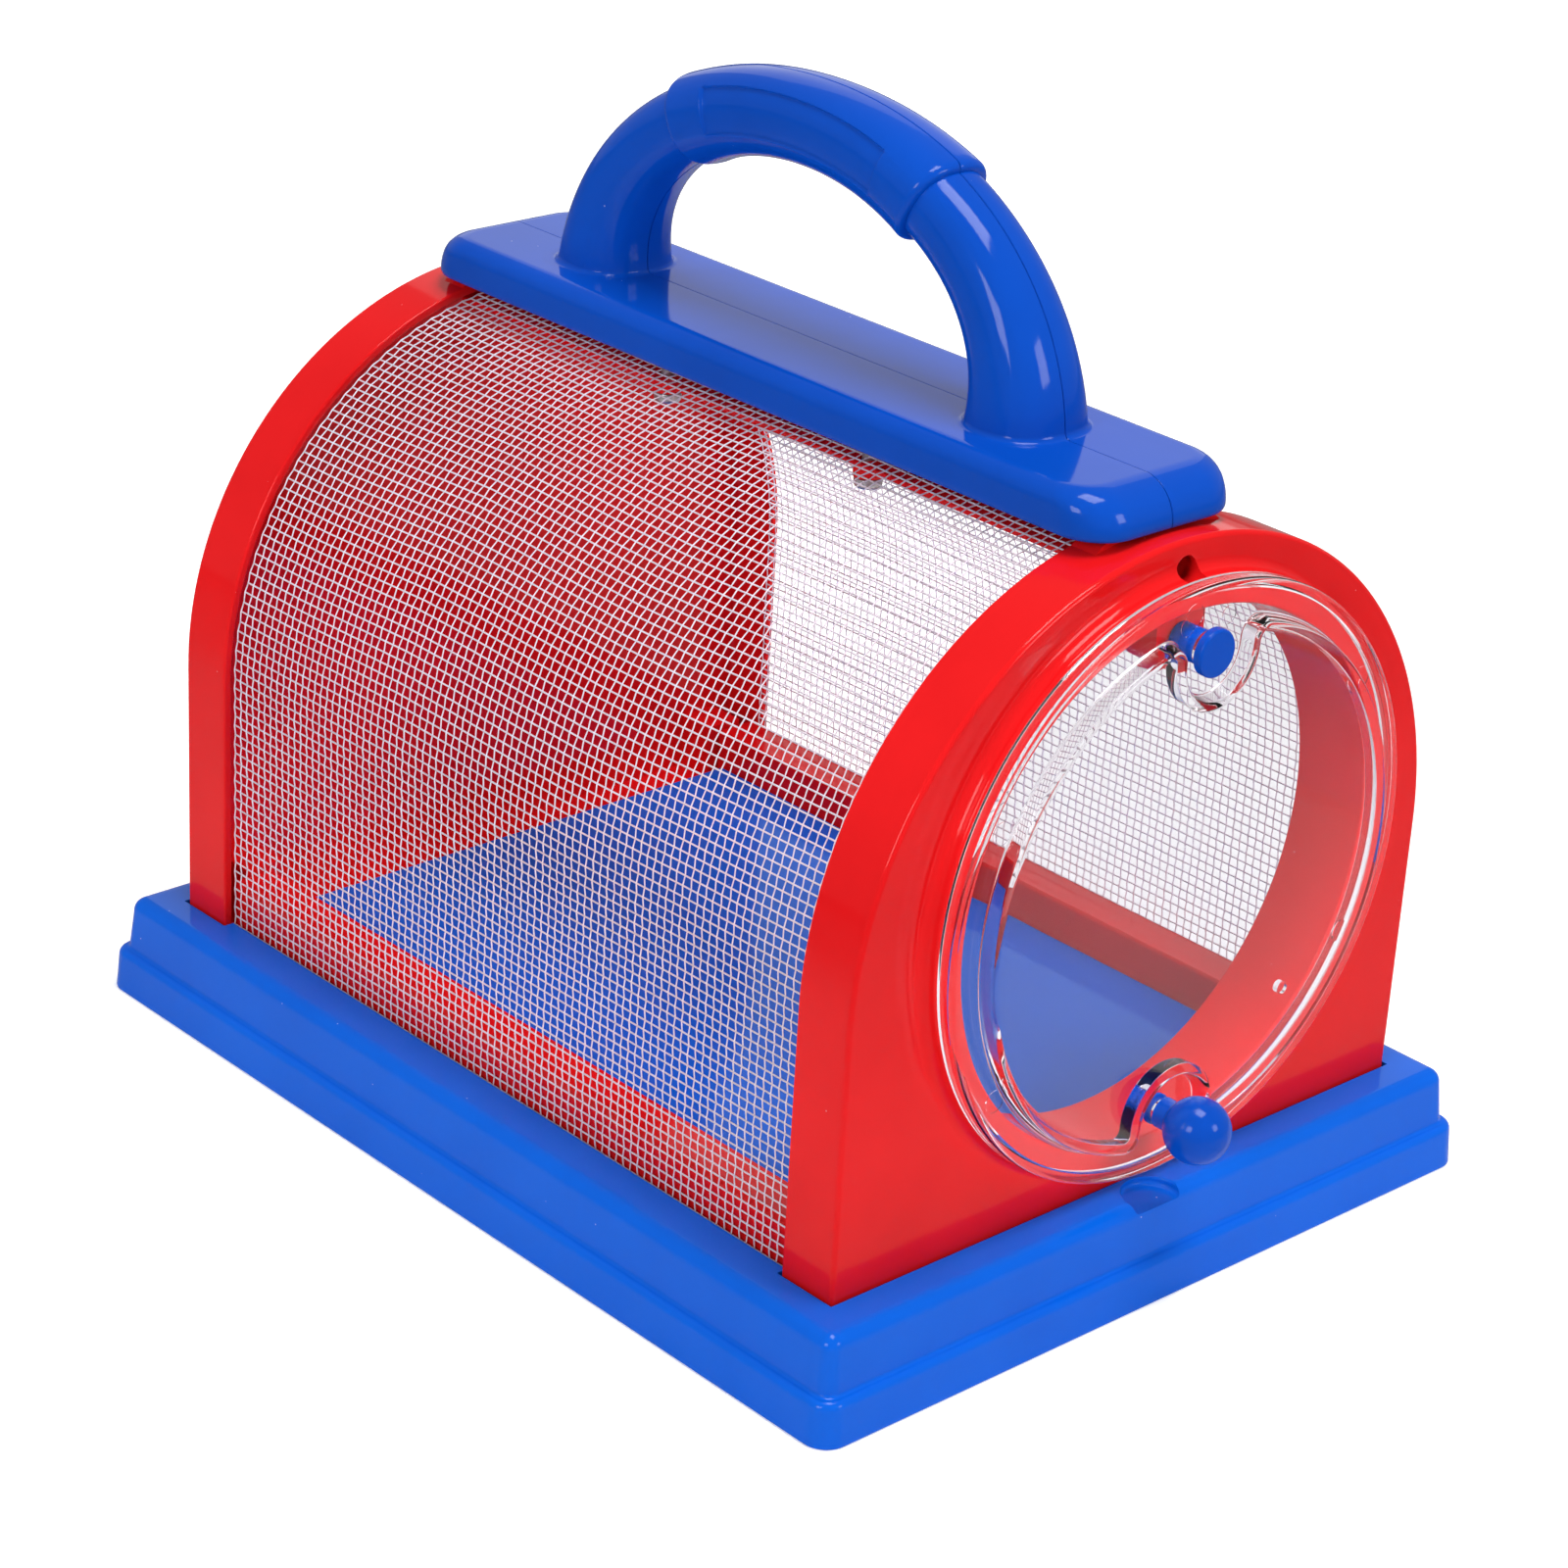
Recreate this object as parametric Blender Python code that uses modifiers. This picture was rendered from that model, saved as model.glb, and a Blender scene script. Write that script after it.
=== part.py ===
"""Insect cage: stepped base, arched end panels, woven screen, clear swing door and carrying handle.

Metres, +Z up. The length runs along Y and the door end faces -Y. The shapes are laid out about the
middle of the base, then all moved so that the origin is under the middle of the whole length, with
the knob.
"""
import math

import bmesh
import bpy
from mathutils import Matrix, Vector

MM = 0.001

# Fits between pieces
SEAT_GAP = 0.3 * MM
SLOT_GAP = 0.5 * MM
PEG_PLAY = 0.25 * MM
MERGE = 0.01 * MM
OVERCUT = 3.0 * MM

# Base tray
SIDE_DECK = 11.7 * MM
END_DECK = 12.25 * MM
FLANGE_HEIGHT = 8.9 * MM
DECK_HEIGHT = 20.1 * MM
FLANGE_LEDGE = 1.9 * MM
BASE_CORNER = 5.0 * MM
FLANGE_ROUND = 1.6 * MM
DECK_ROUND = 2.8 * MM
BASE_WALL = 2.2 * MM
DECK_WALL = 2.6 * MM
CHANNEL_DEPTH = 5.0 * MM
CHANNEL_WALL = 2.2 * MM
RIB_WALL = 1.8 * MM
RIB_DEPTH = 6.0 * MM
RIB_PITCH = 42.0 * MM
RIB_COUNT = 3
BASE_DRAFT = math.radians(4.5)
FINGER_NOTCH_RADIUS = 5.3 * MM
FINGER_NOTCH_DEPTH = 4.0 * MM
FINGER_NOTCH_INSET = 1.0 * MM

# End panels
PANEL_REACH = 97.0 * MM
PANEL_DEPTH = 13.0 * MM
PANEL_HALF_WIDTH = 73.3 * MM
PANEL_WALL = 1.9 * MM
PANEL_FACE_WALL = 2.3 * MM
PANEL_EDGE_ROUND = 1.0 * MM
SADDLE_HALF_FLAT = 12.0 * MM
SADDLE_HALF_WIDTH = 17.5 * MM
SADDLE_SETBACK = 0.4 * MM
SADDLE_INSET = 3.0 * MM
SADDLE_RISE = 0.2 * MM
FOOT_BLOCK_WIDTH = 9.0 * MM
FOOT_BLOCK_HEIGHT = 14.0 * MM
FOOT_SCREW_INSET = 11.3 * MM

# Doorway in the front panel
DOORWAY_MARGIN = 21.8 * MM
DOORWAY_RAISE = 10.0 * MM
TUNNEL_WALL = 2.2 * MM
COLLAR_WIDTH = 5.5 * MM
COLLAR_HEIGHT = 3.2 * MM
COLLAR_FILLET = 2.4 * MM
COLLAR_EDGE = 0.8 * MM
LUG_RADIUS = 6.0 * MM
LUG_SETBACK = 0.6 * MM
LUG_THICKNESS = 8.0 * MM

# Clear door, with heights measured forward from the panel's face
DOOR_LAP = 5.8 * MM
DOOR_CLEARANCE = 4.9 * MM
DOOR_RIM_HEIGHT = 3.8 * MM
DOOR_WALL = 1.8 * MM
DOOR_EDGE_ROUND = 1.0 * MM
WINDOW_INSET = 1.1 * MM
WINDOW_RAISE = 3.2 * MM
WINDOW_DRAFT = 0.5 * MM
POCKET_RADIUS = 8.5 * MM
POCKET_INSET = 6.3 * MM

# Pivot peg and ball knob
PEG_RADIUS = 3.2 * MM
PEG_HEAD_RADIUS = 4.5 * MM
PEG_HEAD_HEIGHT = 1.7 * MM
PEG_NECK_RADIUS = 2.4 * MM
PEG_BARB = 0.7 * MM
PEG_BARB_LENGTH = 2.6 * MM
PEG_SLIT = 1.0 * MM
KNOB_RADIUS = 6.3 * MM
KNOB_CENTRE_HEIGHT = 16.0 * MM
KNOB_NECK_RADIUS = 3.0 * MM
KNOB_STEM_RADIUS = 1.9 * MM
KNOB_RIVET_RADIUS = 3.0 * MM
KNOB_RIVET_HEIGHT = 1.2 * MM

# Screen, side rails and ridge beam
SCREEN_THICKNESS = 0.8 * MM
SCREEN_TUCK = 4.0 * MM
SCREEN_BAR = 5.0 * MM
SCREEN_ROWS = 6
SCREEN_COLUMNS = 7
RAIL_WIDTH = 9.8 * MM
RAIL_HEIGHT = 8.2 * MM
RAIL_WALL = 2.0 * MM
RAIL_EDGE = 0.8 * MM
RAIL_TUCK = 1.6 * MM
RIDGE_HALF_WIDTH = 24.0 * MM
RIDGE_THICKNESS = 3.0 * MM
RIDGE_RIB_HALF = 5.5 * MM
RIDGE_RIB_DEPTH = 2.4 * MM
RIDGE_SCREW_DROP = 2.2 * MM
RIDGE_BOSS_RADIUS = 4.0 * MM
RIDGE_BOSS_LENGTH = 6.4 * MM

# Top plate and handle
PLATE_SETBACK = 3.9 * MM
PLATE_WIDTH = 38.0 * MM
PLATE_HEIGHT = 8.5 * MM
PLATE_CORNER = 9.0 * MM
PLATE_ROUND = 3.4 * MM
PLATE_END_ROUND = 7.5 * MM
PLATE_UNDER_EDGE = 0.9 * MM
HANDLE_SPAN = 56.5 * MM
HANDLE_RISE = 41.0 * MM
HANDLE_FULLNESS = 2.05
HANDLE_WIDTH = 16.4 * MM
HANDLE_THICKNESS = 14.4 * MM
SECTION_FULLNESS = 2.4
FOOT_FILLET = 1.0 * MM
LEG_SWELL = 2.8 * MM
GRIP_HALF_SPAN = 32.5 * MM
GRIP_SWELL = 0.9 * MM
GRIP_END_SWELL = 1.7 * MM
GRIP_EDGE = 1.1 * MM
RECESS_HALF_SPAN = 23.2 * MM
RECESS_HEIGHT = 9.2 * MM
RECESS_DEPTH = 0.8 * MM
SHELL_WALL = 2.2 * MM
PLATE_BOSS_RADIUS = 3.6 * MM
PLATE_SCREW_X = 10.0 * MM
PLATE_SCREW_Y = 28.0 * MM
PIN_RADIUS = 1.6 * MM
PIN_LENGTH = 4.0 * MM
PIN_BOSS_RADIUS = 3.2 * MM
LEG_PIN_ANGLE = math.radians(16)
GRIP_PIN_ANGLE = math.radians(68)

# Self-tapping screws
SCREW_RADIUS = 1.4 * MM
SCREW_HEAD_RADIUS = 2.7 * MM
SCREW_HEAD_HEIGHT = 1.9 * MM
SCREW_HEAD_FLAT = 0.7
SCREW_LENGTH = 11.0 * MM
SMALL_SCREW_RADIUS = 1.1 * MM
SMALL_SCREW_HEAD_RADIUS = 1.9 * MM
PANEL_SCREW_HOLE_RADIUS = 2.6 * MM

# Smoothness of the round forms
ARCH_STEPS = 36
RING_STEPS = 60
SMALL_STEPS = 16
SCREW_STEPS = 10
CORNER_STEPS = 4
CROWN_STEPS = 4
PLATE_STEPS = 3
HOLLOW_STEPS = 12

# Places that follow from the sizes above
BASE_WIDTH = 2 * (PANEL_HALF_WIDTH + SIDE_DECK)
BASE_LENGTH = 2 * (PANEL_REACH + END_DECK)
FOOT_SCREW_X = PANEL_HALF_WIDTH - FOOT_SCREW_INSET
DOORWAY_RADIUS = PANEL_HALF_WIDTH - DOORWAY_MARGIN
DOOR_RADIUS = DOORWAY_RADIUS + DOOR_LAP
DOOR_CENTRE_Z = DECK_HEIGHT + DOOR_CLEARANCE + DOOR_RADIUS
WINDOW_RADIUS = DOORWAY_RADIUS - WINDOW_INSET
POCKET_REACH = DOORWAY_RADIUS - POCKET_INSET
ARCH_SPRING = DOOR_CENTRE_Z - DOORWAY_RAISE
CHANNEL_FLOOR = DECK_HEIGHT - CHANNEL_DEPTH
FOOT_Z = CHANNEL_FLOOR + SEAT_GAP
PANEL_BACK = PANEL_REACH - PANEL_DEPTH
SCREEN_HALF_WIDTH = PANEL_HALF_WIDTH - PANEL_WALL - SEAT_GAP
FRAME_HALF_WIDTH = SCREEN_HALF_WIDTH - SCREEN_THICKNESS - SEAT_GAP
RAIL_TOP = DECK_HEIGHT + RAIL_HEIGHT
RAIL_REACH = PANEL_BACK + RAIL_TUCK
SCREEN_REACH = PANEL_BACK + SCREEN_TUCK
SADDLE_TOP = ARCH_SPRING + PANEL_HALF_WIDTH + SADDLE_RISE
PLATE_BOTTOM = SADDLE_TOP + SEAT_GAP
PLATE_TOP = PLATE_BOTTOM + PLATE_HEIGHT
PLATE_LENGTH = 2 * (PANEL_REACH - PLATE_SETBACK)
PIVOT_Z = DOOR_CENTRE_Z + POCKET_REACH
KNOB_Z = DOOR_CENTRE_Z - POCKET_REACH
DOOR_BACK = COLLAR_HEIGHT + SEAT_GAP
RIM_FRONT = DOOR_BACK + DOOR_RIM_HEIGHT
WINDOW_FRONT = RIM_FRONT + WINDOW_RAISE
RIDGE_SCREW_Z = ARCH_SPRING + FRAME_HALF_WIDTH - RIDGE_SCREW_DROP
RIDGE_REACH = PANEL_REACH - PANEL_FACE_WALL - RIDGE_BOSS_LENGTH - SEAT_GAP
SCREW_HOLE_RADIUS = SCREW_RADIUS + SEAT_GAP
SMALL_HOLE_RADIUS = SMALL_SCREW_RADIUS + SEAT_GAP

# Colours of the moulded pieces, as linear red, green and blue
BLUE = (0.012, 0.105, 0.66)
RED = (0.74, 0.014, 0.02)
CLEAR = (0.93, 0.95, 0.97)
WHITE = (0.86, 0.83, 0.86)
STEEL = (0.55, 0.55, 0.57)

# Shells whose thin round walls meet at shallow angles, where the exact solver leaves open edges
THIN_ROUND_SHELLS = ("door_rim", "window", "window_hollow", "front_shell", "rear_shell")

# Turns a shape modelled around +Z so that its +Z points out of the door end
FORWARD = Matrix.Rotation(math.radians(90), 4, "X")

for leftover in list(bpy.data.objects):
    bpy.data.objects.remove(leftover, do_unlink=True)

PARTS = bpy.data.collections.new("insect_cage")
TOOLS = bpy.data.collections.new("insect_cage_tools")
bpy.context.scene.collection.children.link(PARTS)
bpy.context.scene.collection.children.link(TOOLS)


def material(name, colour, roughness, metallic=0.0, transmission=0.0):
    made = bpy.data.materials.new(name)
    made.use_nodes = True
    shader = made.node_tree.nodes["Principled BSDF"]
    shader.inputs["Base Color"].default_value = (*colour, 1.0)
    shader.inputs["Roughness"].default_value = roughness
    shader.inputs["Metallic"].default_value = metallic
    shader.inputs["Transmission Weight"].default_value = transmission
    return made


def tool(name, shape):
    """An object that only shapes other pieces."""
    made = bpy.data.objects.new(name, shape)
    made.hide_render = True
    made.display_type = "WIRE"
    TOOLS.objects.link(made)
    return made


def mesh_of(name, shape):
    made = bpy.data.meshes.new(name)
    bmesh.ops.recalc_face_normals(shape, faces=shape.faces[:])
    shape.to_mesh(made)
    shape.free()
    return made


def box(name, low, high):
    low, high = Vector(low), Vector(high)
    shape = bmesh.new()
    place = Matrix.Translation((low + high) / 2) @ Matrix.Diagonal((*(high - low), 1.0))
    bmesh.ops.create_cube(shape, size=1.0, matrix=place)
    return tool(name, mesh_of(name, shape))


def cylinder(name, radius, start, end, steps=SCREW_STEPS):
    start, end = Vector(start), Vector(end)
    along = end - start
    turn = Vector((0, 0, 1)).rotation_difference(along).to_matrix().to_4x4()
    place = Matrix.Translation((start + end) / 2) @ turn
    shape = bmesh.new()
    bmesh.ops.create_cone(shape, cap_ends=True, segments=steps, radius1=radius, radius2=radius,
                          depth=along.length, matrix=place)
    return tool(name, mesh_of(name, shape))


def turned(name, profile, place, steps=RING_STEPS):
    """A profile of (radius, height), from the top of the axis round to its foot, turned about Z."""
    shape = bpy.data.meshes.new(name)
    shape.from_pydata([(r, 0, h) for r, h in profile],
                      [(i, i + 1) for i in range(len(profile) - 1)], [])
    made = tool(name, shape)
    screw = made.modifiers.new("turn", "SCREW")
    screw.steps = steps
    screw.render_steps = steps
    screw.use_merge_vertices = True
    screw.merge_threshold = MERGE
    made.matrix_world = place
    return made


def prism(name, outline, near_y, far_y):
    """A flat outline of (x, z) points, given its thickness along Y."""
    sheet = bpy.data.curves.new(name, "CURVE")
    sheet.dimensions = "2D"
    sheet.fill_mode = "BOTH"
    sheet.extrude = abs(far_y - near_y) / 2
    line = sheet.splines.new("POLY")
    line.points.add(len(outline) - 1)
    for point, (x, z) in zip(line.points, outline):
        point.co = (x, z, 0, 1)
    line.use_cyclic_u = True
    flat = bpy.data.objects.new(name, sheet)
    flat.matrix_world = Matrix.Translation((0, (near_y + far_y) / 2, 0)) @ FORWARD
    TOOLS.objects.link(flat)
    depsgraph = bpy.context.evaluated_depsgraph_get()
    made = tool(name, bpy.data.meshes.new_from_object(flat.evaluated_get(depsgraph)))
    made.matrix_world = flat.matrix_world.copy()
    bpy.data.objects.remove(flat, do_unlink=True)
    shape = bmesh.new()
    shape.from_mesh(made.data)
    bmesh.ops.remove_doubles(shape, verts=shape.verts[:], dist=MERGE)
    bmesh.ops.recalc_face_normals(shape, faces=shape.faces[:])
    shape.to_mesh(made.data)
    shape.free()
    return made


def loft(name, rings):
    """A skin over closed rings that all have the same number of points, with flat ends."""
    shape = bmesh.new()
    loops = [[shape.verts.new(point) for point in ring] for ring in rings]
    for lower, upper in zip(loops, loops[1:]):
        for i in range(len(lower)):
            j = (i + 1) % len(lower)
            shape.faces.new((lower[i], lower[j], upper[j], upper[i]))
    shape.faces.new(loops[0])
    shape.faces.new(loops[-1])
    bmesh.ops.triangulate(shape, faces=shape.faces[:])
    return tool(name, mesh_of(name, shape))


def shape_with(target, operation, *others):
    for other in others:
        step = target.modifiers.new(other.name, "BOOLEAN")
        step.operation = operation
        step.solver = "MANIFOLD" if target.name in THIN_ROUND_SHELLS else "EXACT"
        step.object = other


def join(target, *others):
    shape_with(target, "UNION", *others)


def cut(target, *others):
    shape_with(target, "DIFFERENCE", *others)


def piece(name, made, finish):
    """Keeps a shaped object as one of the cage's own pieces."""
    TOOLS.objects.unlink(made)
    PARTS.objects.link(made)
    made.name = name
    made.hide_render = False
    made.display_type = "TEXTURED"
    made.data.materials.clear()
    made.data.materials.append(finish)
    made.data.shade_smooth()
    made.data.set_sharp_from_angle(angle=math.radians(35))
    return made


def rounded_rectangle(half_x, half_y, radius, steps=CORNER_STEPS):
    points = []
    for corner, (side_x, side_y) in enumerate(((1, 1), (-1, 1), (-1, -1), (1, -1))):
        for step in range(steps + 1):
            angle = (corner + step / steps) * math.pi / 2
            points.append((side_x * (half_x - radius) + radius * math.cos(angle),
                           side_y * (half_y - radius) + radius * math.sin(angle)))
    return points


def arch(half_width, bottom):
    """Straight legs under a half circle, as (x, z) points."""
    points = [(-half_width, bottom), (half_width, bottom)]
    for step in range(ARCH_STEPS + 1):
        angle = math.pi * step / ARCH_STEPS
        points.append((half_width * math.cos(angle), ARCH_SPRING + half_width * math.sin(angle)))
    return points


def quarter(steps):
    """Cosine and sine along a quarter circle, without its start."""
    for step in range(1, steps + 1):
        angle = math.pi / 2 * step / steps
        yield math.cos(angle), math.sin(angle)


def base_ring(inset, height):
    radius = max(BASE_CORNER - inset, BASE_WALL)
    outline = rounded_rectangle(BASE_WIDTH / 2 - inset, BASE_LENGTH / 2 - inset, radius)
    return [(x, y, height) for x, y in outline]


def make_base(finish):
    slope = math.tan(BASE_DRAFT)
    ledge_inset = FLANGE_HEIGHT * slope + FLANGE_LEDGE
    deck_inset = ledge_inset + (DECK_HEIGHT - FLANGE_HEIGHT) * slope
    flange_start = FLANGE_HEIGHT - FLANGE_ROUND
    deck_start = DECK_HEIGHT - DECK_ROUND
    rings = [base_ring(0, 0), base_ring(flange_start * slope, flange_start)]
    for cosine, sine in quarter(2):
        rings.append(base_ring(flange_start * slope + FLANGE_ROUND * (1 - cosine),
                               flange_start + FLANGE_ROUND * sine))
    rings.append(base_ring(ledge_inset, FLANGE_HEIGHT))
    rings.append(base_ring(deck_inset - DECK_ROUND * slope, deck_start))
    for cosine, sine in quarter(3):
        rings.append(base_ring(deck_inset + DECK_ROUND * (1 - cosine), deck_start + DECK_ROUND * sine))
    tray = loft("base_block", rings)

    ceiling = DECK_HEIGHT - DECK_WALL
    step_z = FLANGE_HEIGHT - BASE_WALL
    hollow = loft("base_hollow", [
        base_ring(BASE_WALL, -OVERCUT),
        base_ring(BASE_WALL + step_z * slope, step_z),
        base_ring(ledge_inset + BASE_WALL, step_z + MERGE),
        base_ring(deck_inset + BASE_WALL, ceiling)])
    cut(tray, hollow)

    panel_x = PANEL_HALF_WIDTH + SLOT_GAP
    panel_near, panel_far = PANEL_BACK - SLOT_GAP, PANEL_REACH + SLOT_GAP
    rail_near, rail_far = FRAME_HALF_WIDTH - RAIL_WIDTH - SLOT_GAP, SCREEN_HALF_WIDTH + SLOT_GAP
    block_floor = CHANNEL_FLOOR - CHANNEL_WALL
    block_top = DECK_HEIGHT - DECK_WALL / 2
    cutters = []
    for side in (-1, 1):
        ends = sorted((side * (panel_near - CHANNEL_WALL), side * (panel_far + CHANNEL_WALL)))
        join(tray, box("end_block", (-panel_x - CHANNEL_WALL, ends[0], block_floor),
                       (panel_x + CHANNEL_WALL, ends[1], block_top)))
        ends = sorted((side * panel_near, side * panel_far))
        cutters.append(box("end_channel", (-panel_x, ends[0], CHANNEL_FLOOR),
                           (panel_x, ends[1], DECK_HEIGHT + OVERCUT)))
        sides = sorted((side * (rail_near - CHANNEL_WALL), side * (rail_far + CHANNEL_WALL)))
        join(tray, box("side_block", (sides[0], -panel_near, block_floor),
                       (sides[1], panel_near, block_top)))
        sides = sorted((side * rail_near, side * rail_far))
        reach = panel_near + SLOT_GAP
        cutters.append(box("side_channel", (sides[0], -reach, CHANNEL_FLOOR),
                           (sides[1], reach, DECK_HEIGHT + OVERCUT)))
    rib_reach = rail_near - CHANNEL_WALL / 2
    for index in range(RIB_COUNT):
        y = (index - (RIB_COUNT - 1) / 2) * RIB_PITCH
        join(tray, box("floor_rib", (-rib_reach, y - RIB_WALL / 2, ceiling - RIB_DEPTH),
                       (rib_reach, y + RIB_WALL / 2, block_top)))
    cut(tray, *cutters)

    for x, y in foot_screw_places():
        cut(tray, cylinder("foot_screw_hole", SCREW_HOLE_RADIUS, (x, y, block_floor - OVERCUT),
                           (x, y, CHANNEL_FLOOR + OVERCUT)))
    notch_y = -(BASE_LENGTH / 2 - deck_inset - FINGER_NOTCH_INSET)
    notch_floor = DECK_HEIGHT - FINGER_NOTCH_DEPTH
    notch_wall = FINGER_NOTCH_RADIUS + BASE_WALL
    join(tray, box("notch_block", (-notch_wall, notch_y, notch_floor - BASE_WALL),
                   (notch_wall, notch_y + notch_wall, block_top)))
    cut(tray, cylinder("finger_notch", FINGER_NOTCH_RADIUS, (0, notch_y, notch_floor),
                       (0, notch_y, DECK_HEIGHT + OVERCUT), SMALL_STEPS))
    return piece("base_tray", tray, finish)


def foot_screw_places():
    middle = PANEL_REACH - PANEL_DEPTH / 2
    return [(x, y) for x in (-FOOT_SCREW_X, FOOT_SCREW_X) for y in (-middle, middle)]


def arch_z(radius, x):
    return ARCH_SPRING + math.sqrt(radius ** 2 - x ** 2)


def saddle_outline():
    """The flat seat under the plate on a panel's crown, which falls to the arch inside the plate's edge."""
    top, under = [], []
    for step in range(-ARCH_STEPS // 2, ARCH_STEPS // 2 + 1):
        x = SADDLE_HALF_WIDTH * step * 2 / ARCH_STEPS
        root = arch_z(PANEL_HALF_WIDTH, x) - PANEL_WALL / 3
        slope = max(abs(x) - SADDLE_HALF_FLAT, 0) / (SADDLE_HALF_WIDTH - SADDLE_HALF_FLAT)
        top.append((x, root + (SADDLE_TOP - root) * (1 + math.cos(math.pi * slope)) / 2))
        under.append((x, root - PANEL_WALL / 3))
    return top + under[::-1]


def panel_shell(name, facing):
    """A hollow arch, open below and to the inside, with feet for the screws and a ridge boss."""
    def ring(inset, depth):
        return [(x, facing * (PANEL_REACH - depth), z)
                for x, z in arch(PANEL_HALF_WIDTH - inset, FOOT_Z)]

    rings = [ring(0, PANEL_DEPTH), ring(0, PANEL_EDGE_ROUND)]
    for cosine, sine in quarter(2):
        rings.append(ring(PANEL_EDGE_ROUND * (1 - cosine), PANEL_EDGE_ROUND * (1 - sine)))
    shell = loft(name, rings)

    inside = [[(x, facing * (PANEL_REACH - depth), z)
               for x, z in arch(PANEL_HALF_WIDTH - PANEL_WALL, FOOT_Z - OVERCUT)]
              for depth in (PANEL_FACE_WALL, PANEL_DEPTH + OVERCUT)]
    cut(shell, loft(name + "_hollow", inside))

    near = PANEL_BACK + RAIL_TUCK + SEAT_GAP
    far = PANEL_REACH - PANEL_FACE_WALL / 2
    for side in (-1, 1):
        ends = sorted((facing * near, facing * far))
        x = side * FOOT_SCREW_X
        join(shell, box(name + "_foot", (x - FOOT_BLOCK_WIDTH / 2, ends[0], FOOT_Z),
                        (x + FOOT_BLOCK_WIDTH / 2, ends[1], FOOT_Z + FOOT_BLOCK_HEIGHT)))
    join(shell, prism(name + "_saddle", saddle_outline(), facing * (PANEL_BACK + SADDLE_SETBACK),
                      facing * (PLATE_LENGTH / 2 - SADDLE_INSET)))
    boss_end = facing * (RIDGE_REACH + SEAT_GAP)
    join(shell, cylinder(name + "_boss", RIDGE_BOSS_RADIUS, (0, facing * far, RIDGE_SCREW_Z),
                         (0, boss_end, RIDGE_SCREW_Z)))
    return shell


def drill_panel(shell, name, facing):
    """The holes for the two foot screws and for the deep-set ridge screw."""
    for x, y in foot_screw_places():
        if y * facing > 0:
            cut(shell, cylinder(name + "_foot_hole", SCREW_HOLE_RADIUS, (x, y, FOOT_Z - OVERCUT),
                                (x, y, FOOT_Z + SCREW_LENGTH)))
    floor = facing * (RIDGE_REACH + SEAT_GAP + BASE_WALL)
    cut(shell, cylinder(name + "_deep_hole", PANEL_SCREW_HOLE_RADIUS,
                        (0, facing * (PANEL_REACH + OVERCUT), RIDGE_SCREW_Z), (0, floor, RIDGE_SCREW_Z),
                        SMALL_STEPS))
    cut(shell, cylinder(name + "_thread_hole", SMALL_HOLE_RADIUS,
                        (0, facing * PANEL_REACH, RIDGE_SCREW_Z),
                        (0, facing * (RIDGE_REACH - OVERCUT), RIDGE_SCREW_Z)))


def at_front(height):
    """The Y of a plane that stands forward of the front panel's face."""
    return -(PANEL_REACH + height)


def on_front(z):
    return Matrix.Translation((0, -PANEL_REACH, z)) @ FORWARD


def make_front_panel(finish):
    shell = panel_shell("front_shell", -1)
    collar_radius = DOORWAY_RADIUS + COLLAR_WIDTH
    tunnel_radius = DOORWAY_RADIUS + TUNNEL_WALL
    profile = [(0, COLLAR_HEIGHT), (collar_radius - COLLAR_EDGE, COLLAR_HEIGHT),
               (collar_radius, COLLAR_HEIGHT - COLLAR_EDGE)]
    for cosine, sine in quarter(3):
        profile.append((collar_radius + COLLAR_FILLET * (1 - cosine), COLLAR_FILLET * (1 - sine)))
    seat = -PANEL_FACE_WALL / 2
    profile += [(collar_radius + COLLAR_FILLET, seat), (tunnel_radius, seat),
                (tunnel_radius, -PANEL_DEPTH), (0, -PANEL_DEPTH)]
    join(shell, turned("tunnel", profile, on_front(DOOR_CENTRE_Z)))
    cut(shell, cylinder("doorway", DOORWAY_RADIUS, (0, at_front(COLLAR_HEIGHT + OVERCUT), DOOR_CENTRE_Z),
                        (0, -PANEL_BACK + OVERCUT, DOOR_CENTRE_Z), RING_STEPS))

    lug_top = DOOR_CENTRE_Z + DOORWAY_RADIUS + TUNNEL_WALL / 2
    outline = [(LUG_RADIUS, lug_top), (-LUG_RADIUS, lug_top)]
    outline += half_circle(LUG_RADIUS, PIVOT_Z, -1)
    join(shell, prism("pivot_lug", outline, at_front(-LUG_SETBACK),
                      at_front(-LUG_SETBACK - LUG_THICKNESS)))
    cut(shell, cylinder("peg_hole", PEG_NECK_RADIUS + SEAT_GAP, (0, at_front(0), PIVOT_Z),
                        (0, -PANEL_BACK, PIVOT_Z), SMALL_STEPS))
    drill_panel(shell, "front", -1)
    return piece("front_end_panel", shell, finish)


def half_circle(radius, centre_z, up):
    """Points over the top (up = 1, from +X) or under the bottom (up = -1, from -X) of a circle."""
    points = []
    for step in range(SMALL_STEPS // 2 + 1):
        angle = math.pi * step * 2 / SMALL_STEPS
        points.append((up * radius * math.cos(angle), centre_z + up * radius * math.sin(angle)))
    return points


def make_rear_panel(finish):
    shell = panel_shell("rear_shell", 1)
    drill_panel(shell, "rear", 1)
    return piece("rear_end_panel", shell, finish)


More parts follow.
